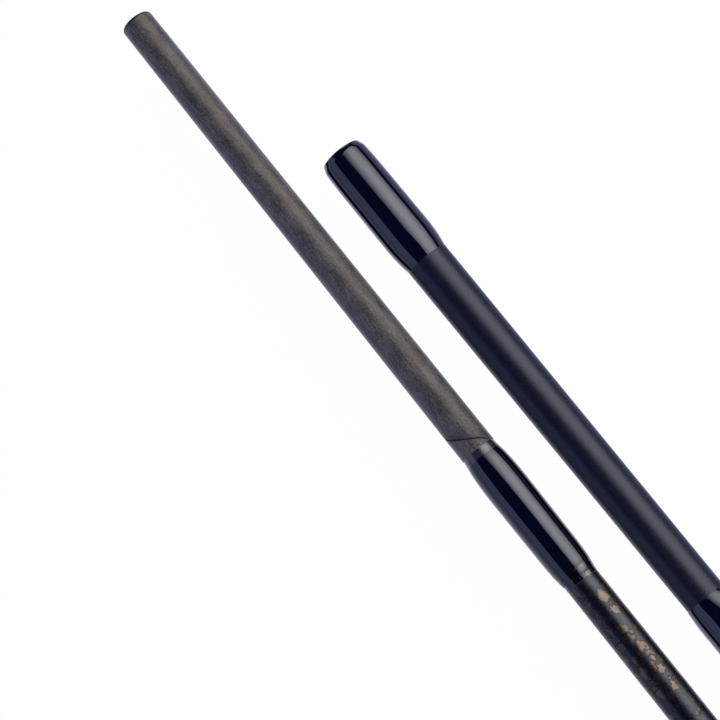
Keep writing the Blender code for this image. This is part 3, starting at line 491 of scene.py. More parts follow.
def ground_foam(graph):
    """Fine-celled black foam, ground to shape: open cells and a few pits with painted shade in their hollows,
    and a grey bloom on the crowns.
    """
    look = bpy.context.scene.rod_handle
    settings = {"feature": "SMOOTH_F1", "voronoi_dimensions": "3D"}
    sockets = {"Vector": graph.place_mm(), "Scale": 2.6, "Smoothness": 0.35}
    cells = graph.node("ShaderNodeTexVoronoi", settings, sockets, "Distance")
    grain = graph.noise(0.3, detail=3.0, seed=21.0)
    bloom = graph.noise(12.0, seed=22.0)
    shaded_pits = graph.noise(1.4, detail=1.0, seed=23.0).between(0.68, 0.74)
    height = cells * 0.8 + grain * 0.4 - shaded_pits * 0.7
    # Painted shade: the colour follows the cells' height, dark in the hollows and lighter on the crowns, with
    # the foam's own grey bloom; the pits are painted darker still.
    shade = graph.mix((cells * 0.7 + bloom * 0.5).between(0.3, 0.8), look.foam_hollow_shade, look.foam_light)
    shade = graph.mix(shaded_pits * 0.7, shade, look.foam_hollow_shade)
    return {
        "Base Color": shade,
        "Roughness": 0.8 + grain * 0.15,
        "IOR": 1.45,
        "Normal": graph.bump(height, 0.09, 0.6),
    }


def moulded_rubber(graph):
    """The butt cap: rubber with a fine grain and paler scuffs."""
    look = bpy.context.scene.rod_handle
    grain = graph.noise(0.18, detail=3.0, seed=24.0)
    scuff = graph.noise(2.0, detail=4.0, roughness=0.7, seed=25.0).between(0.56, 0.72)
    shade = graph.mix(scuff * 0.6, look.rubber_dark, look.rubber_light)
    return {
        "Base Color": shade,
        "Roughness": 0.55 + scuff * 0.2 + grain * 0.1,
        "Normal": graph.bump(grain, 0.03, 0.4),
    }


def rigid_arbor(graph):
    """The grey foam bushes under the reel seat, with painted shade in their cells."""
    look = bpy.context.scene.rod_handle
    cells = graph.noise(0.35, detail=3.0, seed=26.0)
    # Painted shade: the noise that sinks the cells in the bump also paints them darker.
    shade = graph.mix(cells.between(0.35, 0.65), look.arbor_cell_shade, look.arbor_light)
    return {"Base Color": shade, "Roughness": 0.85, "Normal": graph.bump(cells, 0.08, 0.6)}


# The finish of each material slot, and of the resin that runs out over the pattern.
FINISHES = {
    "patterned_blank": ("Flecked Blank", flecked_blank),
    "resin_tail": ("Flecks Under Resin", flecks_under_resin),
    "bare_carbon": ("Sanded Carbon", sanded_carbon),
    "trim_thread": ("Plum Trim Winding", trim_winding),
    "gloss_resin": ("Black Resin", black_resin),
    "matt_blank": ("Matt Paint", matt_paint),
    "frame_metal": ("Plated Wire", plated_wire),
    "hard_ring": ("Polished Ceramic", polished_ceramic),
    "gunmetal": ("Turned Gunmetal", turned_gunmetal),
    "seat_plastic": ("Moulded Seat", moulded_seat),
    "arbor_foam": ("Rigid Arbor", rigid_arbor),
    "foam": ("Ground Foam", ground_foam),
    "rubber": ("Moulded Rubber", moulded_rubber),
}


def dress(name, shape, half, slot, nodes, body=None, finish=None):
    """Puts a bmesh or a mesh in its half's frame, with its finish, and lets it stand for its nodes."""
    mesh = mesh_of(name, shape) if isinstance(shape, bmesh.types.BMesh) else shape
    mesh.materials.clear()
    mesh.materials.append(finish_of(*FINISHES[finish or slot]))
    mesh.shade_smooth()
    mesh.set_sharp_from_angle(angle=SMOOTH_ANGLE)
    obj = bpy.data.objects.new(name, mesh)
    bpy.context.scene.collection.objects.link(obj)
    obj.matrix_world = half.matrix
    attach(obj, body or half.body)
    if nodes:
        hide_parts(*nodes)


def mesh_of(name, shape):
    """The bmesh as a mesh whose doubles are merged and whose faces point out. The bmesh is freed."""
    bmesh.ops.remove_doubles(shape, verts=shape.verts, dist=WELD)
    bmesh.ops.recalc_face_normals(shape, faces=shape.faces)
    mesh = bpy.data.meshes.new(name)
    shape.to_mesh(mesh)
    shape.free()
    return mesh


def softened(corners, size, steps=5):
    """The (z, radius) outline with each inner corner rounded by an arc that starts up to size before it."""
    points = [corners[0]]
    for before, corner, after in zip(corners, corners[1:], corners[2:]):
        here = Vector(corner)
        back, on = Vector(before) - here, Vector(after) - here
        start = here + back.normalized() * min(size, back.length * ARC_SHARE)
        end = here + on.normalized() * min(size, on.length * ARC_SHARE)
        for i in range(steps + 1):
            t = i / steps
            points.append(tuple((1 - t) ** 2 * start + 2 * t * (1 - t) * here + t * t * end))
    points.append(corners[-1])
    return points


def round_loop(shape, z, radius, shift=0.0, sides=ROUND, relief=None):
    """Adds a ring of corners and returns them. shift is to the guide side, and relief is as in revolve."""
    loop = []
    for i in range(sides):
        turn = 2 * math.pi * i / sides
        at = relief(z, radius, turn) if relief else radius
        loop.append(shape.verts.new((shift + at * math.cos(turn), at * math.sin(turn), z)))
    return loop


def bridge(shape, loops, closed=False):
    """Adds the faces between each loop of corners and the next, and from the last to the first if closed."""
    for here, there in zip(loops, loops[1:] + loops[:1] if closed else loops[1:]):
        for i in range(len(here)):
            j = (i + 1) % len(here)
            shape.faces.new((here[i], here[j], there[j], there[i]))


def revolve(shape, outline, sides=ROUND, shift=0.0, closed=True, relief=None):
    """Adds a turned surface to the bmesh. outline is (z, radius) points, and closed joins its ends.

    relief(z, radius, turn) gives the radius where the surface isn't round.
    """
    loops = [round_loop(shape, z, radius, shift, sides, relief) for z, radius in outline]
    bridge(shape, loops, closed)
    return shape


def turned_piece(name, half, outer, slot, nodes, finish=None):
    """A turned piece bound on its half's blank and sunk a little into it."""
    bore = [(z, half.blank_radius(z) - SUNK) for z in (outer[-1][0], outer[0][0])]
    dress(name, revolve(bmesh.new(), list(outer) + bore), half, slot, nodes, finish=finish)


def quarter(steps):
    """The angles of a quarter turn in equal steps, from 0."""
    return [math.pi / 2 * i / steps for i in range(steps + 1)]


def rounded_up(z, radius, run, drop, steps):
    """(z, radius) points that round up from z, over run, to the radius. They start at drop below it."""
    return [(z + run * (1 - math.cos(turn)), radius - drop * (1 - math.sin(turn))) for turn in quarter(steps)]


def rounded_off(z, radius, run, drop, steps):
    """(z, radius) points that round off to z, over run, from the radius. They end at drop below it."""
    return [(z - run * (1 - math.sin(turn)), radius - drop * (1 - math.cos(turn))) for turn in quarter(steps)]


def eased(share):
    """A share from 0 to 1 that starts and ends slowly."""
    return share * share * (3 - 2 * share)


def winding_outline(half, start, end, builds, rise, fall, hidden=0.0, thin_end=0.0):
    """(z, radius) points of a resin-coated winding that rounds up over rise and off over fall.

    builds are its heights over the blank at its two ends, hidden is the part of the rise left off at its
    start, and thin_end is 0 for a round end and 1 for one that runs out thin.
    """
    first, last = builds
    total = end - start + hidden
    turns = quarter(WINDING_STEPS)
    shares = [(rise * (1 - math.cos(turn)), math.sin(turn)) for turn in turns]
    for turn in reversed(turns):
        left = (1 - math.cos(turn)) * (1 - thin_end) + turn / turns[-1] * thin_end
        shares.append((total - fall * left, math.sin(turn)))
    rising = math.sqrt(max(0.0, 1 - (1 - hidden / rise) ** 2))
    points = []
    for along, high in [(hidden, rising)] + [share for share in shares if share[0] > hidden + CLOSE]:
        z = start + along - hidden
        points.append((z, half.blank_radius(z) + high * (first + (last - first) * along / total)))
    return points


def with_step(points, at):
    """The outline with the low step down past at, where the thread ends under the resin."""
    step = bpy.context.scene.rod_windings.thread_step
    return [(z, radius - step * eased(min(1.0, max(0.0, (z - at) / STEP_RUN)))) for z, radius in points]


def split_at(points, at):
    """The outline in two parts, before and after at."""
    corner = (at, float(np.interp(at, *zip(*points))))
    before = [point for point in points if point[0] < at - 2 * CLOSE]
    after = [point for point in points if point[0] > at + 2 * CLOSE]
    return before + [corner], [corner] + after


def make_butt_blank():
    """The hollow butt blank."""
    sizes = bpy.context.scene.rod_blanks
    start, end = BUTT.span("butt_blank")
    outer = [(z, BUTT.blank_radius(z)) for z in np.linspace(start, end, BUTT_STATIONS)]
    bore = [(z, BUTT.blank_radius(z) - sizes.butt_wall) for z in (end, start)]
    dress("butt_blank_tube", revolve(bmesh.new(), outer + bore), BUTT, "patterned_blank", ["butt_blank"])


def make_tenon():
    """The ground tenon with its rounded end."""
    sizes = bpy.context.scene.rod_blanks
    start, end = BUTT.span("tenon_sleeve")[0], BUTT.span("butt_ferrule_trim")[0]
    full = start + sizes.tenon_round
    base = BUTT.radius_of("tenon_sleeve", full)
    outer = rounded_up(start, base, sizes.tenon_round, sizes.tenon_round_depth, ARC_STEPS)
    outer += [(z, BUTT.radius_of("tenon_sleeve", z)) for z in np.linspace(full, end, TENON_STATIONS)[1:]]
    turned_piece("tenon", BUTT, outer, "bare_carbon", ["tenon_sleeve"])


def make_butt_whipping():
    """The trim winding, the gloss black whipping and the clear resin that runs out over the pattern."""
    sizes = bpy.context.scene.rod_windings
    start, end = BUTT.span("butt_ferrule_trim")
    turns = round((end - start) / sizes.trim_pitch)
    outer = []
    for share in np.linspace(0.0, 1.0, turns * 8 + 1):
        z = start + (end - start) * share
        build = sizes.trim_fore_build + (sizes.trim_rear_build - sizes.trim_fore_build) * share
        groove = sizes.trim_groove * (1 - abs(math.sin(math.pi * turns * share)))
        outer.append((z, BUTT.blank_radius(z) + build - groove))
    turned_piece("ferrule_trim", BUTT, outer, "trim_thread", ["butt_ferrule_trim"])

    start, end = end, BUTT.span("butt_ferrule_whipping")[1]
    builds = (sizes.butt_fore_build, sizes.butt_rear_build)
    outer = winding_outline(BUTT, start, end, builds, sizes.butt_rise, sizes.butt_fall, sizes.butt_hidden)
    resin_from = end - sizes.thread_end
    wound, clear = split_at(with_step(outer, resin_from - 0.5 * MM), resin_from)
    film = sizes.resin_film
    clear = [point for point in clear if point[1] > BUTT.blank_radius(point[0]) + film]
    clear += [(z, BUTT.blank_radius(end) + film) for z in np.linspace(end, end + sizes.resin_run, 5)]
    clear.append((end + sizes.resin_run + film, BUTT.blank_radius(end)))
    turned_piece("butt_whipping", BUTT, wound, "gloss_resin", ["butt_ferrule_whipping"])
    turned_piece("butt_resin_tail", BUTT, clear, "gloss_resin", [], "resin_tail")


def make_tip_blank():
    """The hollow tip blank: its bevelled mouth, its socket and its taper."""
    sizes = bpy.context.scene.rod_blanks
    start, end = TIP.span("tip_blank")
    chamfer = 0.1 * MM
    lip = TIP.blank_radius(start)
    bevelled = start + sizes.mouth_bevel
    stations = list(np.linspace(start, bevelled, 7)[1:])
    stations += list(np.linspace(bevelled, end - 4 * chamfer, TIP_STATIONS)[1:])
    outer = [(start, lip - chamfer), (start + 0.3 * chamfer, lip)]
    outer += [(z, TIP.blank_radius(z)) for z in stations]
    outer += [(end, TIP.blank_radius(end) - 2 * chamfer), (end, 0.0)]
    wide, narrow = sizes.socket_mouth_radius, sizes.socket_end_radius
    bore = [(sizes.tip_bore, 0.0), (sizes.tip_bore, sizes.tip_bore_radius), (sizes.socket_length, narrow)]
    bore += [(start + 3 * chamfer, wide), (start, wide + chamfer)]
    shape = revolve(bmesh.new(), outer + bore, closed=False)
    revolve(shape, [bore[-1], outer[0]], closed=False)
    dress("tip_blank_tube", shape, TIP, "matt_blank", ["tip_blank"])


def make_tip_whipping():
    """The gloss black whipping round the mouth."""
    sizes = bpy.context.scene.rod_windings
    start, end = TIP.span("tip_ferrule_whipping")
    lip = sizes.lip_round
    builds = (sizes.tip_rear_build, sizes.tip_fore_build)
    outer = winding_outline(
        TIP, start + lip, end, builds, sizes.tip_rise, sizes.tip_fall, sizes.tip_hidden, thin_end=1.0
    )
    outer = rounded_up(start, outer[0][1], lip, lip, 9)[:-1] + outer
    outer = with_step(outer, end - sizes.thread_end)
    turned_piece("tip_whipping", TIP, outer, "gloss_resin", ["tip_ferrule_whipping"])


def tube_along(shape, points, radii, sides=SLENDER, flat=None):
    """Adds a round rod along the points. flat gives its width over its thickness at each point."""
    rings = []
    for k, point in enumerate(points):
        here = Vector(point)
        ahead = Vector(points[min(k + 1, len(points) - 1)]) - Vector(points[max(k - 1, 0)])
        ahead.normalize()
        across = Vector((0, 1, 0)) - ahead * ahead.y
        across.normalize()
        up = ahead.cross(across)
        wide = radii[k] * (flat[k] if flat else 1.0)
        ring = []
        for i in range(sides):
            turn = 2 * math.pi * i / sides
            corner = here + across * (wide * math.cos(turn)) + up * (radii[k] * math.sin(turn))
            ring.append(shape.verts.new(corner))
        rings.append(ring)
    bridge(shape, rings)
    shape.faces.new(rings[0])
    shape.faces.new(rings[-1])


def smooth_path(points, steps=10):
    """A smooth path through the points, on Catmull-Rom arcs."""
    line = [Vector(p) for p in points]
    line = [2 * line[0] - line[1], *line, 2 * line[-1] - line[-2]]
    path = []
    for a, b, c, d in zip(line, line[1:], line[2:], line[3:]):
        for i in range(steps):
            t = i / steps
            square = (2 * a - 5 * b + 4 * c - d) * t ** 2
            cube = (3 * b - a - 3 * c + d) * t ** 3
            path.append(0.5 * (2 * b + (c - a) * t + square + cube))
    path.append(line[-2])
    return path


def make_hard_ring(name, half):
    """A guide's ceramic ring: a lip whose inside is fully round. Returns its middle and outer radius."""
    node = name + "_ring"
    middle = half.middle(node)
    points = half.points(node)
    ring_r = float(np.hypot(points[:, 0] - middle.x, points[:, 1] - middle.y).max())
    low, high = half.span(node)
    section = bpy.context.scene.rod_fittings.ring_section * ring_r ** 0.5
    centre_r = ring_r - section / 2
    outline = []
    for i in range(RING_STEPS):
        turn = 2 * math.pi * i / RING_STEPS
        c, s = math.cos(turn), math.sin(turn)
        z = math.copysign(abs(c) ** 0.8, c) * (high - low) / 2
        outline.append((middle.z + z, centre_r + math.copysign(abs(s) ** 0.85, s) * section / 2))
    dress(name + "_hard_ring", revolve(bmesh.new(), outline, shift=middle.x), half, "hard_ring", [node])
    return middle, ring_r


def foot_winding(half, node, onward, height):
    """A winding over a foot. It starts where the foot comes in and runs on past its end down to the blank."""
    sizes = bpy.context.scene.rod_windings
    low, high = half.span(node)
    start = low if onward > 0 else high
    run = high - low
    lip = sizes.foot_lip
    rings = []
    stations = [lip * (1 - math.cos(turn)) for turn in quarter(6)[:-1]] + list(np.linspace(lip, run, 47))
    for along in stations:
        z = start + onward * along
        left = run - along
        rise = 0.72 + 0.28 * math.sin(math.pi / 2 * min(1.0, along / sizes.foot_rise))
        fall = math.sin(math.pi / 2 * min(1.0, left / sizes.foot_fall)) ** 1.1
        base = half.blank_radius(z) + sizes.toe_build * math.sqrt(min(1.0, left / TOE_RUN))
        dip = lip * (1 - math.sqrt(1 - (1 - min(1.0, along / lip)) ** 2))
        top = base + (height + sizes.foot_cover) * rise * fall - dip
        back = base + sizes.foot_back * rise * fall - dip / 2
        rings.append((z, (top + back) / 2, (top - back) / 2))
    rings += [(z, half.blank_radius(z) - SUNK, 0.0) for z in (rings[-1][0], rings[0][0])]
    shape = bmesh.new()
    bridge(shape, [round_loop(shape, *ring) for ring in rings], closed=True)
    dress(node + "_resin", shape, half, "gloss_resin", [node])


def add_band(shape, middle, ring_r, corner_round):
    """Adds the stamped band that a hard ring sits in."""
    sizes = bpy.context.scene.rod_fittings
    edge = sizes.band_length / 2
    inner, outer = ring_r + RING_GAP, ring_r + sizes.band_wall
    corners = [(0.0, inner), (-edge, inner), (-edge, outer), (edge, outer), (edge, inner), (0.0, inner)]
    corners = [(middle.z + z, radius) for z, radius in corners]
    revolve(shape, softened(corners, corner_round), shift=middle.x, closed=False)


def leg_root(middle, ring_r, hand, onward):
    """Where the leg on that hand leaves the band, on the band's side that looks onward."""
    sizes = bpy.context.scene.rod_fittings
    radius = ring_r + sizes.band_wall / 2
    return Vector((
        middle.x - radius * math.cos(sizes.leg_spread),
        hand * radius * math.sin(sizes.leg_spread),
        middle.z + onward * sizes.band_length / 4,
    ))


def add_foot(shape, half, middle, ring_r, wire_r, onward, whipping):
    """Adds a guide's two legs on one side and the flattened foot that they run into."""
    sizes = bpy.context.scene.rod_fittings
    low, high = half.span(whipping)
    near, far = (low, high - sizes.foot_overhang) if onward > 0 else (high, low + sizes.foot_overhang)
    root = near - onward * sizes.bare_foot
    base = max(half.blank_radius(near), half.blank_radius(far)) + FOOT_SEAT
    for hand in (-1, 1):
        leave = leg_root(middle, ring_r, hand, onward)
        land = Vector((base + wire_r, hand * (FOOT_WIDTH * wire_r - wire_r), root + onward * wire_r / 2))
        bend = leave.lerp(land, 0.7)
        bend.y *= 0.7
        settle = Vector((base + wire_r * 0.8, land.y * 0.8, land.z + onward * 2.2 * wire_r))
        path = smooth_path((leave, leave.lerp(bend, 0.5), bend, land, settle))
        tube_along(shape, path, [wire_r] * len(path))
    heel = 0.6 * wire_r
    points, radii, flats = [], [], []
    for share in np.linspace(0.0, 1.0, 15):
        thick = wire_r * (1.0 - 0.55 * share) * min(1.0, 0.55 + share * 6)
        points.append((base + thick * 0.98, 0.0, root + onward * ((abs(far - root) + heel) * share - heel)))
        radii.append(thick)
        flats.append(FOOT_WIDTH * (1.0 - 0.3 * share) * min(1.0, 0.7 + 3 * share))
    tube_along(shape, points, radii, flat=flats)


def make_guide(name, half, feet):
    """A line guide: a stamped band round its ceramic ring, two wire legs to each foot, and the windings.

    feet gives the way along the half that each foot points, and the node of its winding.
    """
    sizes = bpy.context.scene.rod_fittings
    middle, ring_r = make_hard_ring(name, half)
    wire_r = sizes.wire_base + sizes.wire_growth * ring_r
    shape = bmesh.new()
    add_band(shape, middle, ring_r, corner_round=0.24 * MM)
    for onward, whipping in feet:
        add_foot(shape, half, middle, ring_r, wire_r, onward, whipping)
        foot_winding(half, whipping, onward, 2 * wire_r - 0.1 * MM)
    dress(name + "_wire_frame", shape, half, "frame_metal", [name + "_frame"])


def make_line_guides():
    """The seven guides that the line runs through on its way to the end ring."""
    make_guide("stripper_guide", BUTT, ((-1, "stripper_whipping_fore"), (1, "stripper_whipping_rear")))
    make_guide("guide_2", TIP, ((-1, "guide_2_whipping_rear"), (1, "guide_2_whipping_fore")))
    for number in range(3, 8):
        make_guide(f"guide_{number}", TIP, ((1, f"guide_{number}_whipping"),))


def make_tip_top():
    """The end guide: a tube over the tip, its ring on two short legs, and its winding."""
    sizes = bpy.context.scene.rod_fittings
    middle, ring_r = make_hard_ring("tip_top", TIP)
    start, end = TIP.span("tip_top_frame")[0], TIP.span("tip_blank")[1] + sizes.tube_end
    tube_r = TIP.blank_radius(start) + sizes.tube_wall + 0.06 * MM
    outer = [(start, 0.0), (start, tube_r), (end, tube_r), (end, 0.0)]
    shape = revolve(bmesh.new(), softened(outer, 0.3 * MM), closed=False)
    add_band(shape, middle, ring_r, corner_round=0.2 * MM)
    for hand in (-1, 1):
        leave = leg_root(middle, ring_r, hand, -1)
        land = Vector((tube_r, hand * tube_r / 2, middle.z - 2 * sizes.tip_top_ahead))
        settle = Vector((tube_r * 0.8, hand * tube_r / 2, land.z - 1.2 * MM))
        path = smooth_path((leave, leave.lerp(land, 0.55), land, settle))
        tube_along(shape, path, [sizes.tip_top_wire] * len(path))
    dress("tip_top_wire_frame", shape, TIP, "frame_metal", ["tip_top_frame"])
    low, high = TIP.span("tip_top_whipping")
    build = TIP.reach("tip_top_whipping") - TIP.blank_radius((low + high) / 2)
    outer = winding_outline(TIP, low, high, (build, build), 2.2 * MM, 0.4 * MM)
    turned_piece("tip_top_resin", TIP, outer, "gloss_resin", ["tip_top_whipping"])


def make_hook_keeper():
    """A wire loop bound on the blank by its two feet."""
    sizes = bpy.context.scene.rod_fittings
    low, high = BUTT.span("hook_keeper")
    middle = (low + high) / 2
    half_span = sizes.keeper_span / 2
    bend = half_span + 1.5 * MM
    wire = sizes.keeper_wire
    top = BUTT.points("hook_keeper")[:, 0].max() - wire
    axis_r = BUTT.blank_radius(high) + FOOT_SEAT + wire
    points = [(axis_r, 0.0, low + 0.1 * MM), (axis_r, 0.0, middle - bend)]
    for i in range(1, 24):
        turn = math.pi * i / 24
        rise = (top - axis_r) * math.sin(turn) ** sizes.keeper_squareness
        points.append((axis_r + rise, 0.0, middle - half_span * math.cos(turn)))
    points += [(axis_r, 0.0, middle + bend), (axis_r, 0.0, high - 0.1 * MM)]
    path = smooth_path(points, 5)
    shares = [min(point.z - low, high - point.z) / (3 * MM) for point in path]
    shape = bmesh.new()
    tube_along(shape, path, [wire * min(1.0, 0.45 + 0.55 * share) for share in shares], sides=SLENDER // 2)
    dress("hook_keeper_wire", shape, BUTT, "frame_metal", ["hook_keeper"])
    foot_winding(BUTT, "hook_keeper_whipping_fore", -1, 2 * wire)
    foot_winding(BUTT, "hook_keeper_whipping_rear", 1, 2 * wire)


def flat_share(turn, radius, flat):
    """The radius at which a round is cut by a flat on the guide side."""
    across = math.cos(turn)
    return min(radius, flat / across) if across > 0 else radius


def make_reel_seat():
    """The barrel: a round-crested thread in front, the reel foot's bed, and the flats under the hoods."""
    sizes = bpy.context.scene.rod_handle
    start, end = BUTT.span("reel_seat_body")
    points = BUTT.points("reel_seat_body")
    outside = BUTT.reach("reel_seat_body")
    root = outside - sizes.thread_depth
    on_bed = np.abs(points[:, 2] - (start + end) / 2) < 30 * MM
    at_front = points[:, 2] < start + 1 * MM
    bed, key = float(points[on_bed, 0].max()), float(points[at_front, 0].max())
    thread_end = start + sizes.thread_length
    bed_end = BUTT.span("fixed_hood")[0] - 0.3 * MM

    def seat_radius(z, radius, turn):
        if radius < sizes.seat_bore + 0.2 * MM:
            return radius
        if start + 1 * MM < z < thread_end:
            phase = ((z - start) / sizes.thread_pitch - turn / (2 * math.pi)) % 1.0
            crest = math.exp(-((phase - 0.5) / 0.17) ** 4)
            fade = min(1.0, (z - start) / (3 * MM), (thread_end - z) / (2 * MM))
            radius = root + sizes.thread_depth * crest * max(0.0, fade)
        return flat_share(turn, radius, bed if thread_end < z < bed_end else key)

    chamfer, end_chamfer, run_out = 0.3 * MM, 0.4 * MM, 0.6 * MM
    count = int(sizes.thread_length / (0.16 * MM))
    outer = [(start, root - chamfer), (start + chamfer, root)]
    outer += [(z, root) for z in np.linspace(start + chamfer, thread_end - 0.2 * MM, count + 1)[1:]]
    outer += [(thread_end - CLOSE, root), (thread_end + CLOSE, root)]
    outer += [(thread_end + run_out * i / 6, root + sizes.thread_depth * i / 6) for i in range(1, 7)]
    outer += [(z, outside) for z in np.linspace(thread_end + 1 * MM, bed_end - 0.05 * MM, 20)]
    outer += [(bed_end + 0.05 * MM, outside), (end - end_chamfer, outside), (end, outside - end_chamfer)]
    bore = [(end, sizes.seat_bore), (start, sizes.seat_bore)]
    shape = revolve(bmesh.new(), outer + bore, sides=SEAT_SIDES, relief=seat_radius)
    dress("reel_seat_barrel", shape, BUTT, "seat_plastic", ["reel_seat_body"])
    for node in ("seat_arbor_fore", "seat_arbor_rear"):
        low, high = BUTT.span(node)
        radius = BUTT.reach(node)
        corners = [
            (low, BUTT.blank_radius(low)), (low, radius), (high, radius), (high, BUTT.blank_radius(high)),
        ]
        turned_piece(node + "_bush", BUTT, softened(corners, chamfer), "arbor_foam", [node])


def cut(mesh, cutter_shape):
    """The mesh with the cutter's shape cut away."""
    helper = bpy.data.objects.new("hood cutter", mesh_of("hood cutter", cutter_shape))
    worked = bpy.data.objects.new("hood blank", mesh)
    for obj in (helper, worked):
        bpy.context.scene.collection.objects.link(obj)
    boolean = worked.modifiers.new("Cut", "BOOLEAN")
    boolean.operation = "DIFFERENCE"
    boolean.solver = "EXACT"
    boolean.object = helper
    bpy.context.view_layer.update()
    left = bpy.data.meshes.new_from_object(worked.evaluated_get(bpy.context.evaluated_depsgraph_get()))
    if not left.polygons:
        raise RuntimeError("the cut left nothing of the hood")
    for obj in (helper, worked):
        bpy.data.objects.remove(obj, do_unlink=True)
    return left


def solid_of_rings(rings):
    """A closed solid through round rings (z, radius, shift to the guide side)."""
    shape = bmesh.new()
    loops = [round_loop(shape, *ring) for ring in rings]
    bridge(shape, loops)
    shape.faces.new(loops[0])
    shape.faces.new(loops[-1])
    return shape


def make_hood(name, node, onward, body, gap):
    """A hood whose pocket takes one end of the reel's foot. onward is the way into the pocket."""
    sizes = bpy.context.scene.rod_handle
    low, high = BUTT.span(node)
    mouth = low if onward > 0 else high
    points = BUTT.points(node)
    radius = (points[:, 1].max() - points[:, 1].min()) / 2
    shift = points[:, 0].max() - radius
    band, straight, edge = sizes.hood_band, sizes.hood_straight, sizes.hood_edge
    rings = [(*point, shift) for point in rounded_up(mouth, radius, onward * edge, edge, 6)]
    stations = np.linspace(mouth + onward * edge, mouth + onward * straight, 7)
    rings += [(z, radius, shift) for z in stations[1:]]
    for share in np.linspace(0.0, 1.0, 15)[1:]:
        z = mouth + onward * (straight + (high - low - edge - straight) * share)
        rings.append((z, radius + (band - radius) * eased(share), shift * (1 - eased(share))))
    far_end = rounded_off(mouth + onward * (high - low), band, onward * edge, edge / 2, 5)
    rings += [(*point, 0.0) for point in far_end[1:]]
    mesh = mesh_of(name, solid_of_rings(rings))

    seat_r = BUTT.reach("reel_seat_body") + gap
    flat = float(BUTT.points("reel_seat_body")[:, 0].max()) + gap
    before, past = low - 1 * MM, high + 1 * MM
    bore = revolve(
        bmesh.new(), [(before, 0.0), (before, seat_r), (past, seat_r), (past, 0.0)], closed=False,
        relief=lambda z, r, turn: flat_share(turn, r, flat),
    )
    mesh = cut(mesh, bore)
    pocket_r = radius - sizes.hood_wall
    far = mouth + onward * sizes.hood_pocket
    pocket = solid_of_rings([
        (mouth - onward * 1 * MM, pocket_r, shift), (far - onward * 1 * MM, pocket_r, shift),
        (far, pocket_r - 0.6 * MM, shift),
    ])
    dress(name, cut(mesh, pocket), BUTT, "gunmetal", [node], body)


def make_lock_nut():
    """The lock nut: a fluted flange, and a sleeve that carries the foam fore grip."""
    sizes = bpy.context.scene.rod_handle
    start, end = BUTT.span("lock_nut")
    flange_r = BUTT.reach("lock_nut")
    flange = end - sizes.flange_length
    sleeve_r = sizes.nut_sleeve
    on_flange = sleeve_r + 0.5 * MM
    bore = BUTT.reach("reel_seat_body") + 0.15 * MM
    chamfered = bore + 0.1 * MM

    def fluted(z, radius, turn):
        inside = min(z - flange, end - z) - 1.2 * MM
        if inside < 0 or radius < on_flange:
            return radius
        depth = sizes.flute_depth * min(1.0, inside / (0.6 * MM))
        return radius - depth * (0.5 - 0.5 * math.cos(sizes.flutes * turn)) ** 2

    corners = [
        (start, chamfered), (start, sleeve_r), (flange, sleeve_r), (flange, flange_r), (end, flange_r),
        (end, chamfered),
    ]
    outline = softened(corners, sizes.metal_edge)
    crowded = []
    for (z, radius), (next_z, next_radius) in zip(outline, outline[1:]):
        parts = max(1, int(abs(next_z - z) / (0.3 * MM))) if radius > on_flange else 1
        for share in (i / parts for i in range(parts)):
            crowded.append((z + (next_z - z) * share, radius + (next_radius - radius) * share))
    crowded += [outline[-1], (end - 0.3 * MM, bore), (start + 0.3 * MM, bore)]
    shape = revolve(bmesh.new(), crowded, sides=NUT_SIDES, relief=fluted)
    dress("lock_nut_turned", shape, BUTT, "gunmetal", ["lock_nut"], "lock_nut")


def end_round(z, low, high, size):
    """How much the rounding of a grip's ends takes off its radius at z."""
    near = 1 - min(1.0, min(z - low, high - z) / size)
    return size * (1 - math.sqrt(max(0.0, 1 - near ** 2)))


def make_fore_grip():
    """The foam fore grip on the lock nut's sleeve."""
    sizes = bpy.context.scene.rod_handle
    low, high = BUTT.span("fore_grip")
    swell = BUTT.reach("fore_grip")
    bore = sizes.nut_sleeve + 0.02 * MM
    outer = []
    for share in np.linspace(0.0, 1.0, 61):
        z = low + (high - low) * share
        if share < 0.5:
            radius = sizes.fore_grip_fore + (swell - sizes.fore_grip_fore) * eased(share * 2)
        else:
            radius = swell - sizes.fore_grip_fall * eased(share * 2 - 1) ** 1.5
        outer.append((z, radius - end_round(z, low, high, sizes.foam_edge)))
    shape = revolve(bmesh.new(), outer + [(high, bore), (low, bore)])
    dress("fore_grip_foam", shape, BUTT, "foam", ["fore_grip"], "lock_nut")


def make_grips():
    """The split foam grips behind the seat, each swelling on an S-curve."""
    sizes = bpy.context.scene.rod_handle
    for node, fore_r, rear_r in (
        ("mid_grip", sizes.mid_grip_fore, sizes.mid_grip_rear),
        ("rear_grip", sizes.rear_grip_fore, sizes.rear_grip_rear),
    ):
        low, high = BUTT.span(node)
        outer = []
        for share in np.linspace(0.0, 1.0, GRIP_STATIONS):
            z = low + (high - low) * share
            radius = fore_r + (rear_r - fore_r) * eased(share)
            outer.append((z, radius - end_round(z, low, high, sizes.grip_round)))
        turned_piece(node + "_foam", BUTT, outer, "foam", [node])


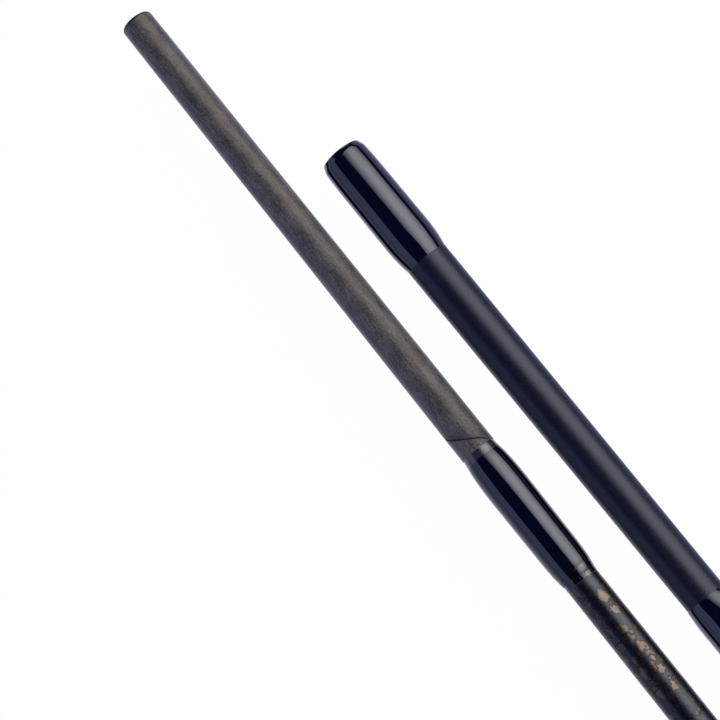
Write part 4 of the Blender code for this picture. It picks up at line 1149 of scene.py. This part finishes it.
def make_trim_rings():
    """The turned metal rings and checks along the handle."""
    sizes = bpy.context.scene.rod_handle
    edge = sizes.metal_edge
    for node in ("seat_rear_ring", "butt_cap_ring"):
        low, high = BUTT.span(node)
        radius = BUTT.reach(node)
        groove, bottom = (low + high) / 2, radius - 0.3 * MM
        corners = [
            (low, BUTT.blank_radius(low)), (low, radius), (groove - 0.5 * MM, radius),
            (groove - 0.3 * MM, bottom), (groove + 0.3 * MM, bottom), (groove + 0.5 * MM, radius),
            (high, radius), (high, BUTT.blank_radius(high)),
        ]
        turned_piece(node + "_turned", BUTT, softened(corners, edge), "gunmetal", [node])
    for node in ("rear_grip_check", "mid_grip_check"):
        low, high = BUTT.span(node)
        rim = BUTT.reach(node)
        thin_end, wide_end = (low, high) if node == "rear_grip_check" else (high, low)
        foot = BUTT.blank_radius(thin_end)
        corners = [
            (thin_end, foot), (thin_end, foot + sizes.check_edge), ((low + high) / 2, rim), (wide_end, rim),
            (wide_end, BUTT.blank_radius(wide_end)),
        ]
        if thin_end == high:
            corners.reverse()
        turned_piece(node + "_turned", BUTT, softened(corners, edge), "gunmetal", [node])
    low, high = BUTT.span("fore_winding_check")
    rim = BUTT.reach("fore_winding_check")
    foot = BUTT.blank_radius(low)
    lip = foot + sizes.check_rim
    cone_end = high - sizes.check_rim
    corners = [(low, foot), (low, lip)]
    for share in (i / 10 for i in range(1, 10)):
        corners.append((low + (cone_end - low) * share, lip + (rim - lip) * eased(share) ** 0.9))
    corners += [(cone_end, rim), (high, rim), (high, BUTT.blank_radius(high))]
    turned_piece("fore_check_turned", BUTT, softened(corners, edge * 0.6), "gunmetal", ["fore_winding_check"])


def make_butt_cap():
    """The rubber cap: a grooved wall, a rounded end and a ring sunk into its face."""
    sizes = bpy.context.scene.rod_handle
    low, high = BUTT.span("butt_cap")
    radius = BUTT.reach("butt_cap")
    chamfer = 0.25 * MM
    outer = [(low, BUTT.blank_radius(low)), (low, radius - chamfer), (low + chamfer, radius)]
    first_groove, groove_pitch, groove_half, groove_depth = 4.5 * MM, 2.4 * MM, 0.4 * MM, 0.35 * MM
    for i in range(sizes.cap_grooves):
        at = low + first_groove + i * groove_pitch
        for turn in (math.pi * step / 8 for step in range(9)):
            outer.append((at + groove_half * (1 - math.cos(turn)), radius - groove_depth * math.sin(turn)))
    outer += rounded_off(high, radius, sizes.cap_round, sizes.cap_round, ARC_STEPS)
    ring, sunk = radius - sizes.cap_round - 2 * MM, high - 0.35 * MM
    outer += [
        (high, ring + 0.4 * MM), (sunk, ring + 0.15 * MM), (sunk, ring - 0.15 * MM), (high, ring - 0.4 * MM),
        (high, 0.0),
    ]
    bottom = high - sizes.cap_wall
    bore_r = BUTT.blank_radius(bottom)
    shape = revolve(bmesh.new(), outer + [(bottom, 0.0), (bottom, bore_r), (low, bore_r)])
    dress("butt_cap_rubber", shape, BUTT, "rubber", ["butt_cap"])


def glowing_card(name, corners, glow_of, place=Matrix(), faces=None):
    """A card that only reflections see. glow_of gives its colour and strength from its graph."""
    mesh = bpy.data.meshes.new(name)
    mesh.from_pydata(corners, [], faces or [tuple(range(len(corners)))])
    made = bpy.data.materials.new(name)
    made.use_nodes = True
    graph = Graph(made.node_tree)
    glow = graph.node("ShaderNodeEmission", (), glow_of(graph))
    made.node_tree.links.new(glow.socket, made.node_tree.nodes["Material Output"].inputs["Surface"])
    mesh.materials.append(made)
    card = bpy.data.objects.new(name, mesh)
    bpy.context.scene.collection.objects.link(card)
    card.matrix_world = place
    card.visible_camera = False
    card.visible_diffuse = False
    card.visible_shadow = False
    card.visible_transmission = False


def facing_rod(lean, distance):
    """The frame of a card or lamp over the middle of the scene: X along the rod, Y across and Z away."""
    away = Vector((0.0, math.sin(lean), math.cos(lean)))
    along = Vector((1.0, 0.0, 0.0))
    turned_to = Matrix((along, away.cross(along), away)).transposed()
    return Matrix.Translation(away * distance) @ turned_to.to_4x4()


def soft_lamp(name, low, high, distance, long, tint, radiance):
    """A rectangular lamp between two angles from straight up. Gloss doesn't see it, but its card."""
    across = 2 * distance * math.tan((high - low) / 2)
    data = bpy.data.lights.new(name, "AREA")
    data.shape = "RECTANGLE"
    data.size = long
    data.size_y = across
    data.color = tint
    data.energy = radiance * math.pi * long * across
    lamp = bpy.data.objects.new(name, data)
    bpy.context.scene.collection.objects.link(lamp)
    lamp.matrix_world = facing_rod((low + high) / 2, distance)
    lamp.visible_camera = False
    lamp.visible_glossy = False


def seen_directly(graph):
    """1 for what the camera, a mirror or glass sees, and 0 for light."""
    path = "ShaderNodeLightPath"
    seen = graph.node(path, out="Is Camera Ray").at_least(graph.node(path, out="Is Glossy Ray"))
    return seen.at_least(graph.node(path, out="Is Transmission Ray"))


def by_ferrule(graph, near, far):
    """1 on the ferrule's side of near and 0 past far, both along X, with a soft step between them."""
    return graph.part(graph.place(), "X").between(far, near)


def rectangle(fore, rear, low, high, up=0.0):
    """The four corners of a flat card that spans from fore to rear and from low to high."""
    return [(fore, low, up), (rear, low, up), (rear, high, up), (fore, high, up)]


def make_floor():
    """White paper that keeps a faint shadow. In gloss it shows painted reflection: a brighter lavender strip
    under the ferrule, bluer paper beside it and paler paper elsewhere.
    """
    stage = bpy.context.scene.rod_stage
    size = stage.floor_size
    mesh = bpy.data.meshes.new("floor")
    mesh.from_pydata(rectangle(-size, size, -size, size), [], [(0, 1, 2, 3)])
    paper = bpy.data.materials.new("White Paper")
    paper.use_nodes = True
    tree = paper.node_tree
    tree.nodes.remove(tree.nodes["Principled BSDF"])
    graph = Graph(tree)
    diffuse = graph.node("ShaderNodeBsdfDiffuse", (), {"Color": stage.paper_colour})
    glossy = graph.node("ShaderNodeLightPath", out="Is Glossy Ray")
    # Painted reflection: the colours that gloss sees on the paper, brightest just under the rods by the
    # ferrule, bluer further aside, plainer past the ferrule.
    aside = abs(graph.part(graph.place(), "Y"))
    far = aside.between(stage.bright_paper, stage.bright_paper * 4)
    shade = graph.mix(far, stage.paper_near_rod, stage.paper_in_gloss)
    shade = graph.mix(by_ferrule(graph, *FLOOR_FADE), stage.paper_elsewhere, shade)
    shade = graph.mix(glossy, (1.0, 1.0, 1.0), shade)
    glow = graph.node("ShaderNodeEmission", (), {"Color": shade, "Strength": 1.0 + glossy * stage.gloss_lift})
    share = seen_directly(graph) * stage.paper_white
    both = graph.node("ShaderNodeMixShader", (), {0: share, 1: diffuse, 2: glow})
    tree.links.new(both.socket, tree.nodes["Material Output"].inputs["Surface"])
    mesh.materials.append(paper)
    floor = bpy.data.objects.new("floor", mesh)
    bpy.context.scene.collection.objects.link(floor)


def make_surround(stage):
    """The world: white where it is seen, and dimmer as light."""
    scene = bpy.context.scene
    world = scene.world or bpy.data.worlds.new("Studio")
    scene.world = world
    world.use_nodes = True
    background = world.node_tree.nodes["Background"]
    strength = seen_directly(Graph(world.node_tree)) * (1.0 - stage.ambient) + stage.ambient
    feed(world.node_tree, background.inputs["Strength"], strength)
    feed(world.node_tree, background.inputs["Color"], (1.0, 1.0, 1.0))


def make_key_card(stage):
    """The softbox as gloss sees it: brightest along a line, with its inner edge turned aside in front."""
    middle = (stage.key_from + stage.key_to) / 2
    reach = stage.key_distance * math.tan((stage.key_to - stage.key_from) / 2)
    fore, square, rear = stage.key_fore, stage.key_square, stage.lamp_length / 2
    corners = [
        (fore, -reach - stage.key_slant * (square - fore), 0), (square, -reach, 0), (rear, -reach, 0),
        (rear, reach, 0), (fore, reach, 0),
    ]
    brightest = stage.key_distance * math.tan(stage.key_brightest - middle)
    spread = stage.key_distance * math.tan(stage.key_spread)

    def key_glow(graph):
        here = graph.place()
        along, across = graph.part(here, "X"), graph.part(here, "Y")
        # Half as bright along the handle, and a quarter less at the fore end.
        fade = (1.0 - along.between(-0.35, 0.1) * 0.5) * (0.75 + along.between(-1.3, -0.8) * 0.25)
        bell = ((across - brightest) / spread).bell()
        return {"Color": stage.key_colour, "Strength": bell * fade * stage.key_glow}

    glowing_card("key_card", corners, key_glow, facing_rod(middle, stage.key_distance))


def make_fill_card(stage):
    """The fill panel as gloss sees it."""
    reach = stage.fill_distance * math.tan((stage.fill_to - stage.fill_from) / 2)
    ends = stage.lamp_length / 2

    def fill_glow(graph):
        shade = graph.mix(by_ferrule(graph, *CARD_FADE), stage.fill_elsewhere, stage.fill_colour)
        return {"Color": shade, "Strength": stage.fill_glow}

    place = facing_rod(-(stage.fill_from + stage.fill_to) / 2, stage.fill_distance)
    glowing_card("fill_card", rectangle(-ends, ends, -reach, reach), fill_glow, place)


def make_tent(stage):
    """The dark half tube with one closed end that gloss sees behind the lamps."""
    ends = stage.lamp_length / 2
    corners = []
    for degrees in np.linspace(-TENT_REACH, TENT_REACH, TENT_STEPS + 1):
        turn = math.radians(degrees)
        across, up = stage.tent_radius * math.sin(turn), stage.tent_radius * math.cos(turn)
        corners += [(-ends, across, up), (ends, across, up)]
    faces = [(2 * i, 2 * i + 1, 2 * i + 3, 2 * i + 2) for i in range(TENT_STEPS)]
    faces.append(tuple(range(0, 2 * TENT_STEPS + 2, 2)))

    def tent_glow(graph):
        shade = graph.mix(by_ferrule(graph, *CARD_FADE), stage.tent_elsewhere, stage.tent_colour)
        return {"Color": shade, "Strength": 1.0}

    glowing_card("dark_tent", corners, tent_glow, faces=faces)


def make_lights():
    """The white surround, the softbox and fill panel, the cards and tent that only gloss sees, and a card of
    painted shadow that gloss sees under the butt section.
    """
    stage = bpy.context.scene.rod_stage
    make_surround(stage)
    soft_lamp(
        "key softbox", stage.key_from, stage.key_to, stage.key_distance, stage.lamp_length,
        (1.0, 1.0, 1.0), stage.key_light,
    )
    soft_lamp(
        "fill panel", -stage.fill_to, -stage.fill_from, stage.fill_distance, stage.lamp_length,
        stage.fill_colour, stage.fill_light,
    )
    make_key_card(stage)
    make_fill_card(stage)
    make_tent(stage)
    # Painted shadow: a dark card just over the paper under the butt section, seen only in gloss, stands in for
    # that section's shadow on the paper.
    painted_shadow = rectangle(stage.painted_shadow_fore, stage.painted_shadow_rear, stage.painted_shadow_from, stage.painted_shadow_to, stage.painted_shadow_up)
    glowing_card("painted_shadow_card", painted_shadow, lambda graph: {"Color": stage.tent_colour, "Strength": 0.4})
    for name in UNSEEN_IN_GLOSS:
        if name in bpy.data.objects:
            bpy.data.objects[name].visible_glossy = False


def make_stage():
    """Floor, studio light and the camera."""
    stage = bpy.context.scene.rod_stage
    scene = bpy.context.scene
    make_floor()
    make_lights()
    data = bpy.data.cameras.new("Camera")
    data.sensor_width = 36.0
    data.lens = stage.lens
    data.clip_start = 0.01
    data.clip_end = 50.0
    camera = bpy.data.objects.new("Camera", data)
    scene.collection.objects.link(camera)
    azimuth, elevation = stage.azimuth, stage.elevation
    level = math.cos(elevation)
    back = Vector((math.sin(azimuth) * level, -math.cos(azimuth) * level, math.sin(elevation)))
    camera.location = stage.camera_at
    camera.rotation_mode = "QUATERNION"
    camera.rotation_quaternion = (-back).to_track_quat("-Z", "Y")
    scene.camera = camera
    scene.view_settings.view_transform = "Standard"


def length(name, millimetres, description):
    """A length property, given in millimetres and held in metres."""
    return FloatProperty(
        name=name, description=description, default=millimetres * MM, min=0.0, precision=5, unit="LENGTH"
    )


def metres(name, default, description):
    """A place or length property, given and held in metres."""
    return FloatProperty(name=name, description=description, default=default, precision=4, unit="LENGTH")


def number(name, default, description):
    """A plain number property."""
    return FloatProperty(name=name, description=description, default=default)


def angle(name, degrees, description):
    """An angle property, given in degrees and held in radians."""
    return FloatProperty(name=name, description=description, default=math.radians(degrees), subtype="ANGLE")


def colour(name, shade, description):
    """A colour property, in linear light."""
    return FloatVectorProperty(
        name=name, description=description, default=shade, min=0.0, max=1.0, size=3, subtype="COLOR"
    )


class RodBlankSettings(bpy.types.PropertyGroup):
    """Sizes and colours of the two blanks and the tenon."""

    butt_wall: length("Butt wall", 0.8, "Wall of the butt blank")
    tenon_round: length("Tenon round", 0.5, "Length over which the tenon's end is rounded")
    tenon_round_depth: length("Tenon round depth", 0.28, "How much the round takes off the radius")
    mouth_bevel: length("Mouth bevel", 1.2, "Length of the bevel at the tip blank's mouth")
    socket_length: length("Socket length", 88.0, "Depth to which the tenon goes in")
    socket_mouth_radius: length("Socket mouth radius", 3.31, "Radius of the socket at the mouth")
    socket_end_radius: length("Socket end radius", 3.04, "Radius of the socket where the tenon ends")
    tip_bore: length("Tip bore", 850.0, "Depth of the tip blank's bore")
    tip_bore_radius: length("Tip bore radius", 0.9, "Radius of the bore at its inner end")
    ply_edge_at: length("Ply edge", 93.9, "Where the outer ply ends, from the tenon's end")
    ply_edge_slant: length("Ply edge slant", 2.0, "How far it moves along the tenon in a turn of one radian")
    ply_edge_turn: angle("Ply edge side", -70.0, "Where round the tenon the middle of its run is")
    ply_edge_reach: angle("Ply edge reach", 78.0, "How far round the tenon the edge shows, each way")
    sealed_end: length("Sealed end", 0.45, "Length of the lacquered end of the tenon")
    carbon_dark: colour("Carbon dark", (0.018, 0.018, 0.023), "Dark grain of the sanded carbon")
    carbon_light: colour("Carbon light", (0.080, 0.074, 0.074), "Light grain of the sanded carbon")
    carbon_sheen: colour("Carbon sheen", (0.5, 0.42, 0.30), "Tint of the light that the carbon throws back")
    ply_edge: colour("Ply edge colour", (0.005, 0.006, 0.012), "Resin line at the end of the outer ply")
    sealed: colour("Sealed end colour", (0.001, 0.002, 0.006), "Lacquer on the tenon's end")
    fleck_size: length("Fleck size", 1.82, "Size of a fleck on the butt blank")
    fleck_ground: colour("Blank ground", (0.0008, 0.0010, 0.0022), "Black between the flecks")
    fleck_tan: colour("Tan fleck", (0.080, 0.060, 0.041), "Lighter flecks")
    fleck_brown: colour("Brown fleck", (0.044, 0.035, 0.029), "Darker flecks")
    fleck_pale: colour("Pale speck", (0.098, 0.079, 0.060), "Specks in the flecks")
    matt_dark: colour("Matt dark", (0.0008, 0.0015, 0.0055), "Ground of the matt paint")
    matt_light: colour("Matt light", (0.004, 0.0052, 0.011), "Speckle of the matt paint")


class RodWindingSettings(bpy.types.PropertyGroup):
    """Sizes and colours of the windings of thread and resin."""

    butt_fore_build: length("Butt fore build", 0.80, "Height over the blank at the fore end")
    butt_rear_build: length("Butt rear build", 0.48, "Height over the blank at the rear end")
    butt_rise: length("Butt rise", 8.5, "Length over which the resin rounds up")
    butt_fall: length("Butt fall", 5.5, "Length over which the resin rounds off")
    butt_hidden: length("Butt hidden rise", 0.6, "Part of the rise that the trim stands in for")
    tip_rear_build: length("Mouth build", 0.37, "Height over the tip blank at the mouth")
    tip_fore_build: length("Mouth fore build", 0.54, "Height over the tip blank at the far end")
    tip_rise: length("Mouth rise", 6.5, "Length over which the resin rounds up from the mouth")
    tip_fall: length("Mouth fall", 6.0, "Length over which the resin rounds off")
    tip_hidden: length("Mouth hidden rise", 0.5, "Part of the rise that the mouth cuts off")
    lip_round: length("Mouth round", 0.16, "Rounding of the resin at the mouth")
    thread_end: length("Thread end", 1.6, "Where the thread ends under the resin, from the winding's end")
    resin_run: length("Resin run", 0.7, "How far clear resin runs on past the butt winding")
    resin_film: length("Resin film", 0.05, "Thickness of that resin")
    thread_step: length("Thread step", 0.03, "Height of the step there")
    thread_pitch: length("Thread pitch", 0.17, "Width of one turn of thread")
    trim_pitch: length("Trim pitch", 0.2, "Width of one turn of the trim's thread")
    trim_groove: length("Trim groove", 0.015, "Depth between the turns of the trim")
    trim_fore_build: length("Trim fore build", 0.17, "Height of the trim at its fore end")
    trim_rear_build: length("Trim rear build", 0.32, "Height of the trim at its rear end")
    foot_rise: length("Foot rise", 1.6, "Length over which a foot's winding reaches its height")
    foot_fall: length("Foot fall", 4.2, "Length over which it comes down to the blank")
    foot_cover: length("Foot cover", 0.37, "Thread and resin over a foot")
    foot_back: length("Foot back", 0.18, "Thread and resin on the far side of the blank")
    foot_lip: length("Foot lip", 0.3, "Rounding of a winding where the foot comes out of it")
    toe_build: length("Toe build", 0.08, "Height of a winding where it ends")
    resin_dark: colour("Resin dark", (0.0005, 0.0006, 0.0015), "Black of the coated thread")
    resin_light: colour("Resin light", (0.0012, 0.0014, 0.003), "Haze in the resin")
    # Painted shade between the trim's turns and painted light on their crests.
    trim_groove_shade: colour("Trim dark", (0.011, 0.008, 0.010), "Between the turns of the trim")
    trim_crest_light: colour("Trim light", (0.025, 0.019, 0.022), "Crests of the trim's thread")


class RodFittingSettings(bpy.types.PropertyGroup):
    """Sizes and colours of the guides, the hook keeper and the turned metal."""

    band_wall: length("Band wall", 0.75, "Thickness of the band round a hard ring")
    band_length: length("Band length", 1.6, "Width of that band")
    ring_section: number("Ring section", 0.0138, "A ring's thickness over the root of its radius in metres")
    wire_base: length("Wire base", 0.26, "Radius of a guide's wire, before the share of its ring")
    wire_growth: number("Wire growth", 0.062, "Share of the ring's radius added to the wire's")
    bare_foot: length("Bare foot", 1.2, "Part of a foot between its legs and its winding")
    foot_overhang: length("Foot overhang", 2.5, "How far a winding runs past the end of a foot")
    leg_spread: angle("Leg spread", 52.0, "Where a leg leaves the band, from the side nearest the blank")
    tip_top_ahead: length("Tip-top ahead", 3.4, "Half of how far its legs reach back from the end ring")
    tip_top_wire: length("Tip-top wire", 0.42, "Radius of the end guide's legs")
    tube_wall: length("Tube wall", 0.3, "Wall of the end guide's tube")
    tube_end: length("Tube end", 0.8, "How far the tube runs past the blank")
    keeper_span: length("Keeper span", 12.0, "Width of the hook keeper's loop")
    keeper_wire: length("Keeper wire", 0.5, "Radius of the hook keeper's wire")
    keeper_squareness: number("Keeper squareness", 0.6, "1 is a plain half wave, and less is squarer")
    frame_dark: colour("Plating", (0.02, 0.02, 0.023), "Black plating of the guides")
    frame_light: colour("Rubbed plating", (0.07, 0.07, 0.075), "Where the plating is rubbed")
    ring_dark: colour("Ceramic dark", (0.02, 0.022, 0.028), "Ground of the hard rings")
    ring_light: colour("Ceramic light", (0.05, 0.055, 0.065), "Clouds in the hard rings")
    metal_dark: colour("Gunmetal", (0.13, 0.127, 0.122), "Anodised metal")
    metal_light: colour("Rubbed gunmetal", (0.31, 0.305, 0.295), "Where the metal is rubbed")


class RodHandleSettings(bpy.types.PropertyGroup):
    """Sizes and colours of the reel seat, grips and butt cap."""

    thread_length: length("Thread length", 48.0, "Length of the seat's thread")
    thread_pitch: length("Thread pitch", 4.0, "Travel of the nut in one turn")
    thread_depth: length("Thread depth", 0.6, "Height of the thread")
    seat_bore: length("Seat bore", 6.9, "Radius of the bore in the seat")
    hood_band: length("Hood band", 10.3, "Radius of a hood's plain end")
    hood_straight: length("Hood straight", 14.0, "Length of a hood before it slopes")
    hood_edge: length("Hood edge", 0.7, "Rounding of a hood's ends")
    hood_wall: length("Hood wall", 0.9, "Wall over a hood's pocket")
    hood_pocket: length("Hood pocket", 13.0, "Depth of a hood's pocket")
    flange_length: length("Flange length", 8.0, "Width of the lock nut's flange")
    nut_sleeve: length("Nut sleeve", 10.0, "Radius of the lock nut's sleeve")
    flutes: IntProperty(name="Flutes", description="Finger flutes round the flange", default=24, min=3)
    flute_depth: length("Flute depth", 0.45, "Depth of those flutes")
    metal_edge: length("Metal edge", 0.35, "Rounding of the turned metal")
    fore_grip_fore: length("Fore grip fore radius", 10.9, "Radius of the fore grip at its fore end")
    fore_grip_fall: length("Fore grip fall", 0.6, "How much the fore grip narrows at its rear end")
    foam_edge: length("Foam edge", 0.8, "Rounding of the fore grip's ends")
    mid_grip_fore: length("Mid grip fore radius", 11.1, "Radius behind the seat")
    mid_grip_rear: length("Mid grip rear radius", 8.8, "Radius at its rear end")
    rear_grip_fore: length("Rear grip fore radius", 9.2, "Radius at its fore end")
    rear_grip_rear: length("Rear grip rear radius", 12.4, "Radius at the butt")
    grip_round: length("Grip round", 2.0, "Rounding of the grips' ends")
    check_edge: length("Check edge", 1.0, "Height of a check's thin end over the blank")
    check_rim: length("Check rim", 0.8, "Rim of the cone in front of the seat")
    cap_round: length("Cap round", 4.0, "Rounding of the butt cap")
    cap_wall: length("Cap wall", 4.0, "Thickness of the cap's end")
    cap_grooves: IntProperty(name="Cap grooves", description="Grooves round the butt cap", default=4, min=0)
    seat_dark: colour("Seat dark", (0.008, 0.008, 0.01), "Ground of the moulding")
    seat_light: colour("Seat light", (0.016, 0.016, 0.019), "Cloud in the moulding")
    # Painted shade: this dark goes into the foam's cell hollows and pits.
    foam_hollow_shade: colour("Foam dark", (0.008, 0.008, 0.009), "Open cells of the foam")
    foam_light: colour("Foam light", (0.03, 0.03, 0.032), "Ground crowns of the foam")
    rubber_dark: colour("Rubber dark", (0.01, 0.01, 0.011), "Clean rubber")
    rubber_light: colour("Rubber light", (0.035, 0.034, 0.033), "Scuffed rubber")
    # Painted shade in the arbors' cells.
    arbor_cell_shade: colour("Arbor dark", (0.18, 0.18, 0.175), "Cells of the arbors")
    arbor_light: colour("Arbor light", (0.36, 0.36, 0.35), "Walls of those cells")


class RodStageSettings(bpy.types.PropertyGroup):
    """Floor, lamps and camera."""

    floor_size: metres("Floor", 8.0, "Half the floor's width")
    paper_colour: colour("Paper", (0.82, 0.82, 0.82), "Colour of the floor's paper")
    # Painted reflection: the paper's colours and lift as gloss sees them.
    paper_near_rod: colour("Paper near the ferrule", (0.76, 0.74, 1.0), "Floor under the ferrule, in gloss")
    paper_in_gloss: colour("Paper by the ferrule", (0.40, 0.42, 0.75), "Floor beside the ferrule, in gloss")
    paper_elsewhere: colour("Paper elsewhere", (0.72, 0.74, 0.82), "The rest of the floor, in gloss")
    gloss_lift: number("Gloss lift", 0.25, "How much brighter the floor shows in gloss")
    bright_paper: metres("Bright paper", 0.012, "How far from the middle line the floor is whitest in gloss")
    paper_white: number("Paper white", 0.985, "Share of plain white in the floor that is seen")
    ambient: number("Ambient", 0.25, "Light from all round")
    lamp_length: metres("Lamp length", 6.0, "Length of both lamps")
    key_from: angle("Key from", 5.0, "Where the softbox begins, from straight up")
    key_to: angle("Key to", 73.0, "Where the softbox ends")
    key_brightest: angle("Key brightest", 37.0, "Where the softbox is brightest")
    key_spread: angle("Key spread", 25.0, "How far its brightness spreads each way")
    key_fore: metres("Key fore end", -2.2, "Its end past the ferrule")
    key_square: metres("Key square end", -0.52, "Where its inner edge turns aside")
    key_slant: number("Key slant", 0.62, "How much that edge turns aside")
    key_distance: metres("Key distance", 1.4, "How far the softbox stands from the middle of the scene")
    key_light: number("Key light", 2.0, "Brightness on matt surfaces")
    key_glow: number("Key glow", 6.1, "Brightness in gloss")
    key_colour: colour("Key colour", (0.86, 0.88, 1.0), "Colour of the softbox in gloss")
    fill_from: angle("Fill from", 59.5, "Where the fill panel begins, from straight up")
    fill_to: angle("Fill to", 89.5, "Where the fill panel ends")
    fill_distance: metres("Fill distance", 1.8, "How far the fill panel stands from the middle of the scene")
    fill_light: number("Fill light", 2.1, "Brightness on matt surfaces")
    fill_glow: number("Fill glow", 1.5, "Brightness in gloss")
    fill_colour: colour("Fill colour", (0.45, 0.52, 1.0), "Colour of the fill panel")
    fill_elsewhere: colour("Fill elsewhere", (0.55, 0.58, 0.7), "Colour of the fill panel past the ferrule")
    # A card of painted shadow that gloss sees on the paper under the butt section.
    painted_shadow_fore: metres("Flag fore end", -0.56, "Where the dark flag starts")
    painted_shadow_rear: metres("Flag rear end", -0.36, "Where the dark flag ends")
    painted_shadow_from: metres("Flag from", -0.0048, "Its outer edge")
    painted_shadow_to: metres("Flag to", 0.0034, "Its edge under the butt section")
    painted_shadow_up: metres("Flag height", 0.0085, "Its height over the floor")
    tent_radius: metres("Tent radius", 3.2, "Radius of the dark tent")
    tent_colour: colour("Tent colour", (0.02, 0.03, 0.22), "What gloss shows between the lamps")
    tent_elsewhere: colour("Tent elsewhere", (0.032, 0.036, 0.07), "Colour of the tent past the ferrule")
    lens: number("Lens", 105.0, "Focal length in millimetres")
    azimuth: angle("Azimuth", 52.379, "Where the camera stands round the rod")
    elevation: angle("Elevation", 76.443, "How far the camera looks down")
    camera_at: FloatVectorProperty(
        name="Camera", description="Where the camera stands", default=(-0.431863, -0.058288, 0.357348),
        size=3, precision=6, subtype="XYZ", unit="LENGTH",
    )


class ROD_OT_butt_blank(bpy.types.Operator):
    """Build the flecked butt blank"""

    bl_idname = "rod.butt_blank"
    bl_label = "Butt Blank"

    def execute(self, context):
        make_butt_blank()
        return {"FINISHED"}


class ROD_OT_tenon(bpy.types.Operator):
    """Build the sanded tenon"""

    bl_idname = "rod.tenon"
    bl_label = "Tenon"

    def execute(self, context):
        make_tenon()
        return {"FINISHED"}


class ROD_OT_butt_whipping(bpy.types.Operator):
    """Build the trim and the whipping below the tenon"""

    bl_idname = "rod.butt_whipping"
    bl_label = "Butt Whipping"

    def execute(self, context):
        make_butt_whipping()
        return {"FINISHED"}


class ROD_OT_tip_blank(bpy.types.Operator):
    """Build the matt tip blank"""

    bl_idname = "rod.tip_blank"
    bl_label = "Tip Blank"

    def execute(self, context):
        make_tip_blank()
        return {"FINISHED"}


class ROD_OT_tip_whipping(bpy.types.Operator):
    """Build the whipping round the mouth"""

    bl_idname = "rod.tip_whipping"
    bl_label = "Tip Whipping"

    def execute(self, context):
        make_tip_whipping()
        return {"FINISHED"}


class ROD_OT_line_guides(bpy.types.Operator):
    """Build the line guides with their rings and windings"""

    bl_idname = "rod.line_guides"
    bl_label = "Line Guides"

    def execute(self, context):
        make_line_guides()
        return {"FINISHED"}


class ROD_OT_tip_top(bpy.types.Operator):
    """Build the end guide"""

    bl_idname = "rod.tip_top"
    bl_label = "Tip-Top"

    def execute(self, context):
        make_tip_top()
        return {"FINISHED"}


class ROD_OT_hook_keeper(bpy.types.Operator):
    """Build the hook keeper and its windings"""

    bl_idname = "rod.hook_keeper"
    bl_label = "Hook Keeper"

    def execute(self, context):
        make_hook_keeper()
        return {"FINISHED"}


class ROD_OT_reel_seat(bpy.types.Operator):
    """Build the reel seat's barrel and its arbors"""

    bl_idname = "rod.reel_seat"
    bl_label = "Reel Seat"

    def execute(self, context):
        make_reel_seat()
        return {"FINISHED"}


class ROD_OT_hoods(bpy.types.Operator):
    """Build the fixed and the sliding hood"""

    bl_idname = "rod.hoods"
    bl_label = "Hoods"

    def execute(self, context):
        make_hood("fixed_hood_shell", "fixed_hood", 1, "butt_section", 0.05 * MM)
        make_hood("sliding_hood_shell", "sliding_hood", -1, "sliding_hood", 0.15 * MM)
        return {"FINISHED"}


class ROD_OT_lock_nut(bpy.types.Operator):
    """Build the lock nut and the foam fore grip on it"""

    bl_idname = "rod.lock_nut"
    bl_label = "Lock Nut"

    def execute(self, context):
        make_lock_nut()
        make_fore_grip()
        return {"FINISHED"}


class ROD_OT_grips(bpy.types.Operator):
    """Build the foam grips"""

    bl_idname = "rod.grips"
    bl_label = "Grips"

    def execute(self, context):
        make_grips()
        return {"FINISHED"}


class ROD_OT_trim_rings(bpy.types.Operator):
    """Build the metal rings and checks"""

    bl_idname = "rod.trim_rings"
    bl_label = "Trim Rings"

    def execute(self, context):
        make_trim_rings()
        return {"FINISHED"}


class ROD_OT_butt_cap(bpy.types.Operator):
    """Build the rubber butt cap"""

    bl_idname = "rod.butt_cap"
    bl_label = "Butt Cap"

    def execute(self, context):
        make_butt_cap()
        return {"FINISHED"}


class ROD_OT_stage(bpy.types.Operator):
    """Build the floor, the lamps and the camera"""

    bl_idname = "rod.stage"
    bl_label = "Stage"

    def execute(self, context):
        make_stage()
        return {"FINISHED"}


OPERATORS = (
    ROD_OT_butt_blank,
    ROD_OT_tenon,
    ROD_OT_butt_whipping,
    ROD_OT_tip_blank,
    ROD_OT_tip_whipping,
    ROD_OT_line_guides,
    ROD_OT_tip_top,
    ROD_OT_hook_keeper,
    ROD_OT_reel_seat,
    ROD_OT_hoods,
    ROD_OT_lock_nut,
    ROD_OT_grips,
    ROD_OT_trim_rings,
    ROD_OT_butt_cap,
    ROD_OT_stage,
)


class ROD_PT_dresser(bpy.types.Panel):
    """Lists the steps that dress the rod"""

    bl_idname = "ROD_PT_dresser"
    bl_label = "Drop Shot Rod"
    bl_space_type = "VIEW_3D"
    bl_region_type = "UI"
    bl_category = "Rod"

    def draw(self, context):
        for operator in OPERATORS:
            self.layout.operator(operator.bl_idname)


GROUPS = {
    "rod_blanks": RodBlankSettings,
    "rod_windings": RodWindingSettings,
    "rod_fittings": RodFittingSettings,
    "rod_handle": RodHandleSettings,
    "rod_stage": RodStageSettings,
}


def register():
    for group in GROUPS.values():
        bpy.utils.register_class(group)
    for name, group in GROUPS.items():
        setattr(bpy.types.Scene, name, PointerProperty(type=group))
    for operator in OPERATORS:
        bpy.utils.register_class(operator)
    bpy.utils.register_class(ROD_PT_dresser)


def unregister():
    bpy.utils.unregister_class(ROD_PT_dresser)
    for operator in reversed(OPERATORS):
        bpy.utils.unregister_class(operator)
    for name in GROUPS:
        delattr(bpy.types.Scene, name)
    for group in reversed(list(GROUPS.values())):
        bpy.utils.unregister_class(group)


def main():
    """Registers the add-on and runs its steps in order."""
    register()
    for operator in OPERATORS:
        group, name = operator.bl_idname.split(".")
        getattr(getattr(bpy.ops, group), name)()


if __name__ == "__main__":
    main()
